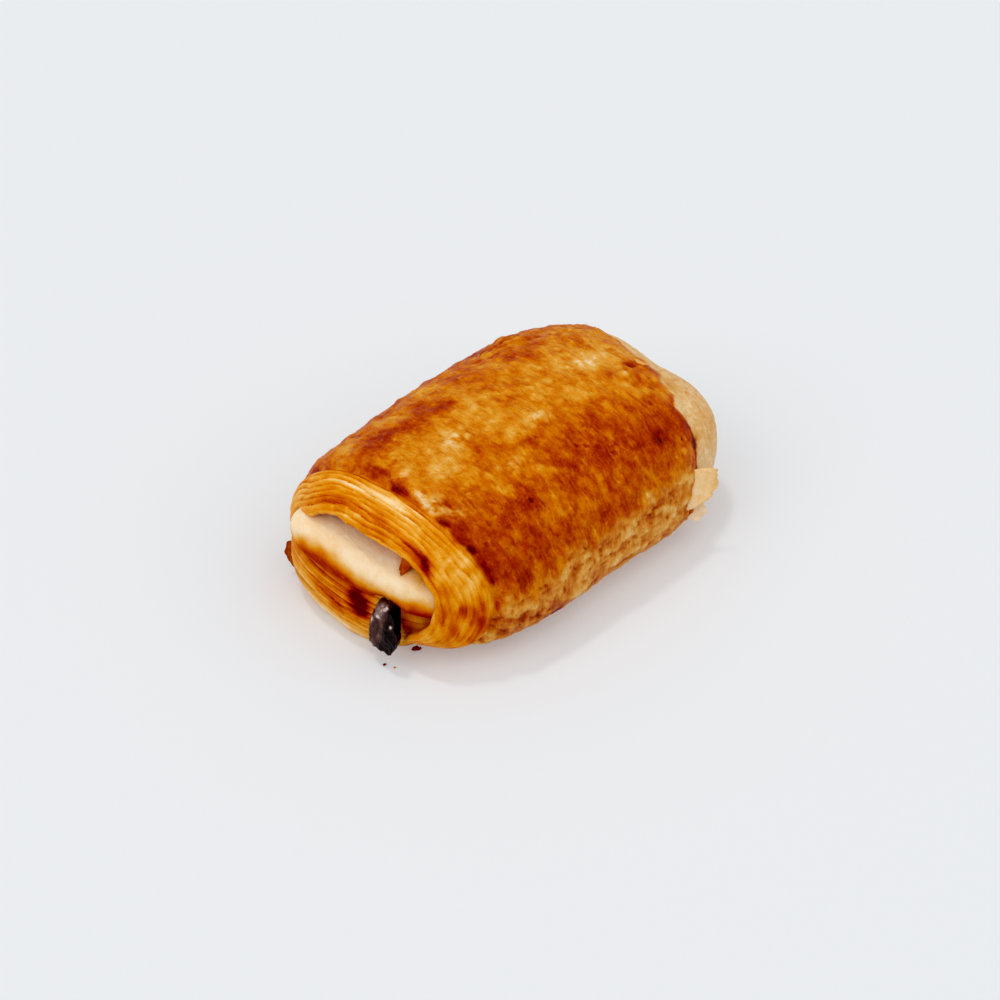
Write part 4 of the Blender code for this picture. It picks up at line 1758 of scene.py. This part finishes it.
@dataclass
class WoundEnd:
    """The dough inside the opening: inner turn, browned fold under it, and a cushion beside the stick."""

    inner_turn: DoughFold = DoughFold(
        "inner_turn",
        (-41.8, -5.3, 17.8),
        (9.2, 21.8, 6.4),
        squareness=2.4,
        end_squareness=2.9,
        finish=SOFT_DOUGH,
        base_bake=0.01,
        wash=0.35,
        turn=0.19,
        tilt=0.07,
        underside=(18.2, 19.4, 19.6, 19.8, 21.2, 22.6, 22.8, 21.2, 19.0),
        underside_adds=0.76,
        patches=(
            # Painted shadow: the first patch darkens the top of the inner turn where the lip overhangs it
            Patch((-49.0, 4.0, 23.8), (4.0, 14.0, 1.6), 0.06),
            Patch((-43.2, -20.6, 23.4), (4.0, 4.4, 2.6), 0.40),
            Patch((-44.5, -22.5, 18.0), (4.0, 3.0, 3.0), 0.14),
            Patch((-42.7, -16.0, 23.6), (3.0, 1.2, 3.0), 0.35),
        ),
        dents=(
            Patch((-43.0, -16.2, 23.6), (3.0, 0.7, 3.0), -0.5),
            Patch((-43.4, -20.5, 23.0), (4.0, 3.6, 3.0), 0.5),
            Patch((-48.5, -14.0, 13.0), (6.0, 3.6, 3.0), -1.8),
        ),
    )
    lower_fold: DoughFold = DoughFold(
        "lower_fold",
        (-42.6, 2.0, 7.6),
        (10.2, 21.4, 10.1),
        squareness=2.5,
        end_squareness=3.0,
        finish=FOLDED_LAYERS,
        base_bake=0.44,
        wash=0.85,
        tilt=0.05,
        bow=0.0085,
        groove=0.12,
        layers=Lamination(1.5, seed=15.0, drift=1.3, waver=0.5),
        patches=(
            Patch((-50.8, 2.0, 15.5), (3.0, 14.0, 2.6), 0.36),
            Patch((-50.3, -7.0, 12.6), (3.0, 2.6, 2.2), 0.55),
            Patch((-50.6, -9.0, 10.6), (3.0, 2.4, 2.6), 0.60),
            Patch((-52.6, 1.0, 10.0), (4.0, 4.5, 1.8), 0.22),
            Patch((-52.0, -3.0, 8.2), (4.0, 2.6, 1.6), 0.22),
            Patch((-52.0, 9.0, 9.5), (4.0, 4.0, 3.0), -0.10),
            Patch((-50.0, 2.0, 3.0), (9.0, 16.0, 2.8), -0.26),
        ),
    )
    side_cushion: DoughFold = DoughFold(
        "side_cushion",
        (-41.4, -15.4, 8.8),
        (5.2, 6.6, 7.6),
        squareness=2.4,
        end_squareness=2.8,
        finish=SOFT_DOUGH,
        base_bake=0.5,
        wash=0.9,
        turn=0.2,
        layers=Lamination(2.2, seed=18.0),
        layer_depth=0.2,
        layer_bake=0.12,
        patches=(
            Patch((-46.0, -18.0, 8.4), (4.0, 1.8, 3.4), 0.26),
            Patch((-46.6, -17.4, 14.0), (4.0, 3.6, 2.4), 0.16),
            Patch((-45.6, -20.6, 11.5), (4.0, 1.6, 5.0), -0.10),
        ),
        rows=90,
        columns=110,
    )

    def build(self) -> list[bpy.types.Object]:
        """Makes the three cushions of dough.

        Returns:
            The inner turn, the lower fold and the side cushion.
        """
        return [fold.build() for fold in (self.inner_turn, self.lower_fold, self.side_cushion)]


@dataclass(frozen=True)
class TornLeaf:
    """A thin torn leaf of crust. It grows out of a line on the roll, whose middle is its root."""

    root: Spot
    along: Spot
    out: Spot
    width: float
    reach: float
    bake: float
    wash: float = 0.6
    edge_adds: float = 0.1
    thickness: float = 0.7
    curl: float = 0.0
    depth: float = 2.0
    seed: float = 1.0
    wave: float = 0.3
    ripple: float = 0.18
    tears: tuple[Grain, ...] = (Grain((0.45, 1.0, 1.0), 0.0, 0.5), Grain((0.14, 1.0, 1.0), 2.0, 0.12))
    mottle: Grain = Grain(1.5, 63.0, 0.1)
    rows: int = 40
    half_columns: int = 12

    def form(self) -> Form:
        """The leaf as a closed form, thinner towards its ragged outer edge.

        Returns:
            The form.
        """
        along = np.array(self.along) / np.linalg.norm(self.along)
        out = np.array(self.out) / np.linalg.norm(self.out)
        normal = np.cross(along, out)
        normal /= np.linalg.norm(normal)
        columns = 2 * self.half_columns
        row, column = np.mgrid[0 : self.rows + 1, 0:columns]
        side = 2.0 * row / self.rows - 1.0
        turn = 2.0 * math.pi * column / columns
        part = 0.5 - 0.5 * np.cos(turn)
        spots = np.stack((side, np.full_like(side, self.seed), np.zeros_like(side)), axis=-1)
        ragged = with_grains(np.ones_like(side), self.tears, spots)
        reach = self.reach * ragged * (1.0 - 0.75 * np.abs(side) ** 2.4)
        taper = np.maximum(0.0, 1.0 - np.abs(side) ** 6.0) ** (1.0 / 6.0)
        taper[0] = 0.0
        taper[-1] = 0.0
        length = taper * (self.depth + reach)
        half = 0.5 * self.thickness * taper * (1.0 - 0.6 * part) * np.sin(turn)
        wave = self.wave * np.sin(4.0 * side + self.seed) * part
        rise = self.curl * part * part + wave + half
        start = np.array(self.root) + along * (side * self.width / 2.0)[..., None]
        points = start + out * (length * part - self.depth)[..., None] + normal * rise[..., None]
        ripple = self.ripple * noise_at(points, 1.6, seed=self.seed, octaves=2) * taper
        points = points + normal * ripple[..., None]
        bake = self.bake + self.edge_adds * ramp(part, 0.7, 1.0) + self.mottle.field(points)
        values = {"bake": np.clip(bake, 0.0, 1.0), "wash": np.full_like(bake, self.wash), "layers": points}
        return Form(points, values)


@dataclass
class TornLeaves:
    """The torn leaves of crust that stand out round the roll."""

    beside_fold: TornLeaf = TornLeaf(
        (-47.0, 21.2, 4.6), (0.0, 0.25, 1.0), (-0.7, 0.7, 0.0), width=7.5, reach=0.9, bake=0.66, curl=0.3
    )
    end_flap: TornLeaf = TornLeaf(
        (27.6, -34.6, 15.6),
        (3.5, 1.8, 8.5),
        (0.9, -0.4, 0.1),
        width=10.0,
        reach=6.2,
        bake=0.16,
        wash=0.4,
        depth=1.0,
        seed=2.0,
    )
    foot_flake: TornLeaf = TornLeaf(
        (28.4, -34.0, 9.4),
        (1.0, 0.2, 0.5),
        (0.3, -0.8, -0.4),
        width=6.5,
        reach=3.2,
        bake=0.0,
        wash=0.3,
        curl=-0.3,
        seed=3.0,
    )
    browned_flake: TornLeaf = TornLeaf(
        (33.4, -33.0, 11.5),
        (0.6, 0.2, 0.8),
        (0.6, -0.6, -0.2),
        width=6.0,
        reach=1.4,
        bake=0.36,
        wash=0.9,
        depth=1.0,
        seed=7.0,
    )
    blister_edge: TornLeaf = TornLeaf(
        (11.5, 18.5, 33.5),
        (1.0, 0.1, 0.0),
        (-0.2, 0.8, 0.9),
        width=5.0,
        reach=0.9,
        bake=0.7,
        depth=1.0,
        seed=4.0,
    )
    lip_flake: TornLeaf = TornLeaf(
        (-44.4, -17.3, 26.0),
        (0.25, -0.8, -0.5),
        (-0.3, 0.2, -0.9),
        width=2.8,
        reach=4.4,
        bake=0.7,
        wash=0.9,
        depth=1.0,
        curl=0.6,
        seed=5.0,
    )
    slit_edge: TornLeaf = TornLeaf(
        (36.0, -8.0, 33.1),
        (0.1, -1.0, 0.1),
        (-0.9, 0.0, 0.35),
        width=4.0,
        reach=1.0,
        bake=0.3,
        depth=1.0,
        seed=6.0,
    )

    def build(self) -> bpy.types.Object:
        """Makes one piece of all the leaves.

        Returns:
            The object.
        """
        leaves = (
            self.beside_fold,
            self.end_flap,
            self.foot_flake,
            self.browned_flake,
            self.blister_edge,
            self.lip_flake,
            self.slit_edge,
        )
        item = build_object("torn_leaves", [leaf.form() for leaf in leaves])
        item.data.materials.append(LEAF_CRUST.material())
        return item


@dataclass(frozen=True)
class Crumb:
    """One crumb: its middle, its half size in mm and its browning."""

    centre: Spot
    size: float
    bake: float


@dataclass
class Crumbs:
    """Loose crumbs on the resting surface in front of the stick."""

    crumbs: tuple[Crumb, ...] = (
        Crumb((-43.8, -18.4, 0.5), 0.62, 0.9),
        Crumb((-43.2, -19.0, 0.4), 0.42, 0.84),
        Crumb((-51.9, -17.4, 0.25), 0.3, 0.9),
        Crumb((-50.8, -19.6, 0.2), 0.22, 0.5),
    )
    spread: Spot = (1.5, 1.0, 0.7)
    roughness: Grain = Grain(0.6, 0.0, 0.4)
    wash: float = 0.5
    rows: int = 10
    columns: int = 12

    def build(self) -> bpy.types.Object:
        """Makes one piece of all the crumbs.

        Returns:
            The object.
        """
        item = build_object("crumbs", [self.form(crumb) for crumb in self.crumbs])
        item.data.materials.append(LEAF_CRUST.material())
        return item

    def form(self, crumb: Crumb) -> Form:
        """The crumb as a rough lump, flat where it meets the surface.

        Args:
            crumb: Its middle, size and browning.

        Returns:
            The form.
        """
        row, column = np.mgrid[0 : self.rows + 1, 0 : self.columns]
        tilt = math.pi * row / self.rows
        turn = 2.0 * math.pi * column / self.columns
        rim = np.sin(tilt)
        rim[0] = 0.0
        rim[-1] = 0.0
        way = np.stack((rim * np.cos(turn), rim * np.sin(turn), np.cos(tilt)), axis=-1)
        way = way * np.array(self.spread)
        rough = 1.0 + self.roughness.field(way + np.array(crumb.centre))
        rough[0] = rough[0, 0]
        rough[-1] = rough[-1, 0]
        points = np.array(crumb.centre) + crumb.size * way * rough[..., None]
        points[..., 2] = np.maximum(points[..., 2], 0.0)
        bake = np.full(points.shape[:-1], crumb.bake)
        return Form(points, {"bake": bake, "wash": np.full_like(bake, self.wash), "layers": points})


@dataclass
class ChocolateStick:
    """The stick of chocolate, from its hidden far end to its drooping tip."""

    path: tuple[Spot, ...] = (
        (40.0, 0.0, 17.0),
        (8.0, -0.5, 17.0),
        (-20.0, -3.5, 16.0),
        (-38.0, -9.5, 12.2),
        (-46.5, -12.7, 8.8),
        (-52.7, -16.4, 9.0),
    )
    half_width: tuple[float, float] = (4.2, 4.9)
    half_height: tuple[float, float] = (4.4, 5.5)
    squareness: float = 4.0
    tip_slant: float = 0.27
    tip_lean: float = 0.9
    tip_narrows: float = 0.32
    cap_share: float = 0.93
    cap_dome: float = 0.3
    facet_depth: float = 0.9
    facets: tuple[Grain, ...] = (Grain(4.6, 71.0, 0.8), Grain(1.7, 72.0, 0.6))
    fine_grain: Grain = Grain(0.8, 73.0, 0.10, octaves=3)
    chips: tuple[Grain, ...] = (Grain(3.6, 74.0, 0.9), Grain(1.5, 75.0, 0.35))
    bloom_share: float = 0.28
    # Partly painted light: how much lighter the side away from the near side is, as a lit facet, over its
    # real bloomed brown
    far_side_bloom_and_light: float = 0.42
    bloom_grains: tuple[Grain, ...] = (Grain(2.6, 76.0, 0.24), Grain(0.8, 77.0, 0.10, octaves=2))
    # Painted glints: whitish specks at these points stand in for small highlights
    speck_size: float = 0.6
    specks: tuple[Spot, ...] = (
        (-49.5, -15.7, 14.2),
        (-49.7, -19.8, 13.4),
        (-50.3, -18.2, 10.8),
        (-50.6, -11.9, 9.9),
        (-51.0, -14.0, 11.6),
    )
    rows: int = 300
    columns: int = 130
    cap_rows: int = 22

    def build(self) -> bpy.types.Object:
        """Makes the stick with its bloomed patches, painted light and finish.

        Returns:
            The object.
        """
        points = self.points()
        item = build_object("dark_chocolate_stick", [Form(points, {"bloom_and_painted_light": self.bloom_and_painted_light(points)})])
        item.data.materials.append(ChocolateFinish().material())
        return item

    def points(self) -> Array:
        """Rows of points from the hidden end to the tip, which is broken into facets and chips.

        Returns:
            The points in mm.
        """
        row, column = np.mgrid[0 : self.rows + 1, 0 : self.columns]
        part = np.clip((row - self.cap_rows) / (self.rows - 2 * self.cap_rows), 0.0, 1.0)
        angle = 2.0 * math.pi * column / self.columns
        at_tip = ramp(part, 0.8, 0.9)
        place = 2.0 * part - 1.0
        centre = np.stack([between_stations(values, place) for values in zip(*self.path)], axis=-1)
        half_height = blend(self.half_height[0], self.half_height[1], ramp(part, 0.6, 0.95))
        half_width = blend(self.half_width[0], self.half_width[1], ramp(part, 0.8, 0.95))
        radius = oval_radius(angle, half_width, half_height, self.squareness)
        spot = centre + np.stack((0.0 * radius, radius * np.cos(angle), radius * np.sin(angle)), axis=-1)
        facets = self.facet_depth * sum(np.abs(grain.field(spot)) for grain in self.facets)
        radius = radius - at_tip * (facets + self.fine_grain.field(spot))
        from_end = np.minimum(row, self.rows - row) / self.cap_rows
        rounded = blend(self.cap_share, 1.0, ramp(from_end, 1.0, 1.7))
        blunt = np.where(from_end < 1.0, self.cap_share * from_end, rounded)
        upper = np.sin(angle)
        narrow = 1.0 - at_tip * self.tip_narrows * ramp(upper, -0.1, 1.0)
        lean = at_tip * self.tip_lean * ramp(upper, 0.0, 1.0)
        across = blunt * (radius * narrow * np.cos(angle) + lean)
        up = blunt * radius * upper
        inner = np.stack((np.zeros_like(up), across, up), axis=-1)
        chips = sum(np.abs(grain.field(inner)) for grain in self.chips)
        domed = self.cap_dome * np.where(from_end < 1.0, 1.0 - from_end, 0.0) ** 2
        slant = self.tip_slant * ramp(part, 0.75, 0.95)
        x = centre[..., 0] + slant * (up + half_height) + at_tip * (chips - domed)
        return np.stack((x, centre[..., 1] + across, centre[..., 2] + up), axis=-1)

    def bloom_and_painted_light(self, points: Array) -> Array:
        """How much of the bloomed brown shows: most on the side away from the near side, partly real and
        partly painted light, with painted whitish glints.

        Args:
            points: Places in mm.

        Returns:
            The share, from 0 to 1.
        """
        # Partly painted light: more on the side away from the near side, as on a lit facet
        bloom_and_painted_light = self.bloom_share + self.far_side_bloom_and_light * ramp(points[..., 1], -17.6, -15.0)
        bloom_and_painted_light = with_grains(bloom_and_painted_light, self.bloom_grains, points)
        # Painted glints: whitish spots at the listed points
        for place in self.specks:
            away = np.linalg.norm(points - np.array(place), axis=-1)
            bloom_and_painted_light = bloom_and_painted_light + 0.9 * bump(away, self.speck_size)
        return np.clip(bloom_and_painted_light, 0.0, 1.0)


@dataclass(frozen=True)
class SoftLight:
    """A broad even light: where it comes from, how wide it looks in degrees, and its strength."""

    name: str
    direction: Spot
    breadth: float
    strength: float
    colour: str

    def build(self) -> None:
        """Adds the light."""
        data = bpy.data.lights.new(self.name, "SUN")
        data.angle = math.radians(self.breadth)
        data.energy = self.strength
        data.color = linear_colour(self.colour)[:3]
        item = bpy.data.objects.new(self.name, data)
        item.rotation_euler = (-Vector(self.direction)).to_track_quat("-Z", "Y").to_euler()
        bpy.context.scene.collection.objects.link(item)


@dataclass
class Studio:
    """A plain pale floor, soft light and the camera at the photograph's angle.

    The floor glows a little, which lightens the shadows on it, and the black point of the view
    takes off the haze that the bright surroundings lay over the dough.
    """

    azimuth: float = math.radians(-43.0)
    elevation: float = math.radians(40.1)
    distance: float = 0.5
    target: Spot = (0.00551, 0.00935, 0.0)
    lens: float = 74.99
    sensor: float = 36.0
    floor_half: float = 12.0
    floor_drop: float = 0.05
    floor_colour: str = "#CDCFD1"
    floor_glow_colour: str = "#F3F6FA"
    floor_glow: float = 0.22
    floor_roughness: float = 0.6
    sky: str = "#F4F6F9"
    sky_strength: float = 0.54
    black_point: float = 0.0125
    lights: tuple[SoftLight, ...] = (
        SoftLight("ceiling", (-0.25, 0.10, 1.0), 90.0, 0.24, "#FFFFFF"),
        SoftLight("window", (0.0, 0.35, 0.94), 7.0, 0.48, "#FFFEFC"),
        SoftLight("side", (-0.80, 0.12, 0.62), 50.0, 0.70, "#FFFAF2"),
        SoftLight("fill", (0.25, -0.62, 0.80), 70.0, 0.78, "#FFFFFF"),
    )

    def camera(self) -> None:
        """Places the camera and makes it the scene's."""
        back = Vector(
            (
                math.sin(self.azimuth) * math.cos(self.elevation),
                -math.cos(self.azimuth) * math.cos(self.elevation),
                math.sin(self.elevation),
            )
        )
        data = bpy.data.cameras.new("camera")
        data.lens = self.lens
        data.sensor_width = self.sensor
        data.clip_start = 0.01
        item = bpy.data.objects.new("camera", data)
        item.location = Vector(self.target) + back * self.distance
        item.rotation_euler = (-back).to_track_quat("-Z", "Y").to_euler()
        bpy.context.scene.collection.objects.link(item)
        bpy.context.scene.camera = item

    def floor(self) -> bpy.types.Object:
        """Makes the pale floor.

        Returns:
            The floor.
        """
        shape = bmesh.new()
        bmesh.ops.create_grid(shape, x_segments=1, y_segments=1, size=self.floor_half)
        bmesh.ops.translate(shape, vec=(0.0, 0.0, -self.floor_drop * MM), verts=shape.verts)
        item = mesh_object("floor", shape)
        made = bpy.data.materials.new("pale_matt_floor")
        made.use_nodes = True
        shader = made.node_tree.nodes["Principled BSDF"]
        shader.inputs["Base Color"].default_value = linear_colour(self.floor_colour)
        shader.inputs["Emission Color"].default_value = linear_colour(self.floor_glow_colour)
        shader.inputs["Emission Strength"].default_value = self.floor_glow
        shader.inputs["Roughness"].default_value = self.floor_roughness
        shader.inputs["Specular IOR Level"].default_value = 0.2
        item.data.materials.append(made)
        return item

    def build(self) -> None:
        """Makes the floor, the lights and the camera."""
        scene = bpy.context.scene
        view = scene.view_settings
        view.view_transform = "Standard"
        view.use_curve_mapping = True
        view.curve_mapping.black_level = (self.black_point,) * 3
        view.curve_mapping.update()
        world = scene.world or bpy.data.worlds.new("studio")
        scene.world = world
        world.use_nodes = True
        background = world.node_tree.nodes["Background"]
        background.inputs["Color"].default_value = linear_colour(self.sky)
        background.inputs["Strength"].default_value = self.sky_strength
        self.floor()
        for light in self.lights:
            light.build()
        self.camera()


def main() -> None:
    """Builds the studio and every piece, and reports each one."""
    logging.basicConfig(level=logging.INFO, format="%(name)s: %(message)s")
    Studio().build()
    for item in (OuterWrap(RollForm()).build(), *WoundEnd().build(), TornLeaves().build()):
        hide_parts("pastry")
        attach(item, BODY)
        LOG.info("%s: %d faces", item.name, len(item.data.polygons))
    crumbs = Crumbs().build()
    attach(crumbs, BODY)
    LOG.info("%s: %d faces", crumbs.name, len(crumbs.data.polygons))
    stick = ChocolateStick().build()
    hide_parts("chocolate_stick")
    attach(stick, BODY)
    LOG.info("%s: %d faces", stick.name, len(stick.data.polygons))


if __name__ == "__main__":
    main()
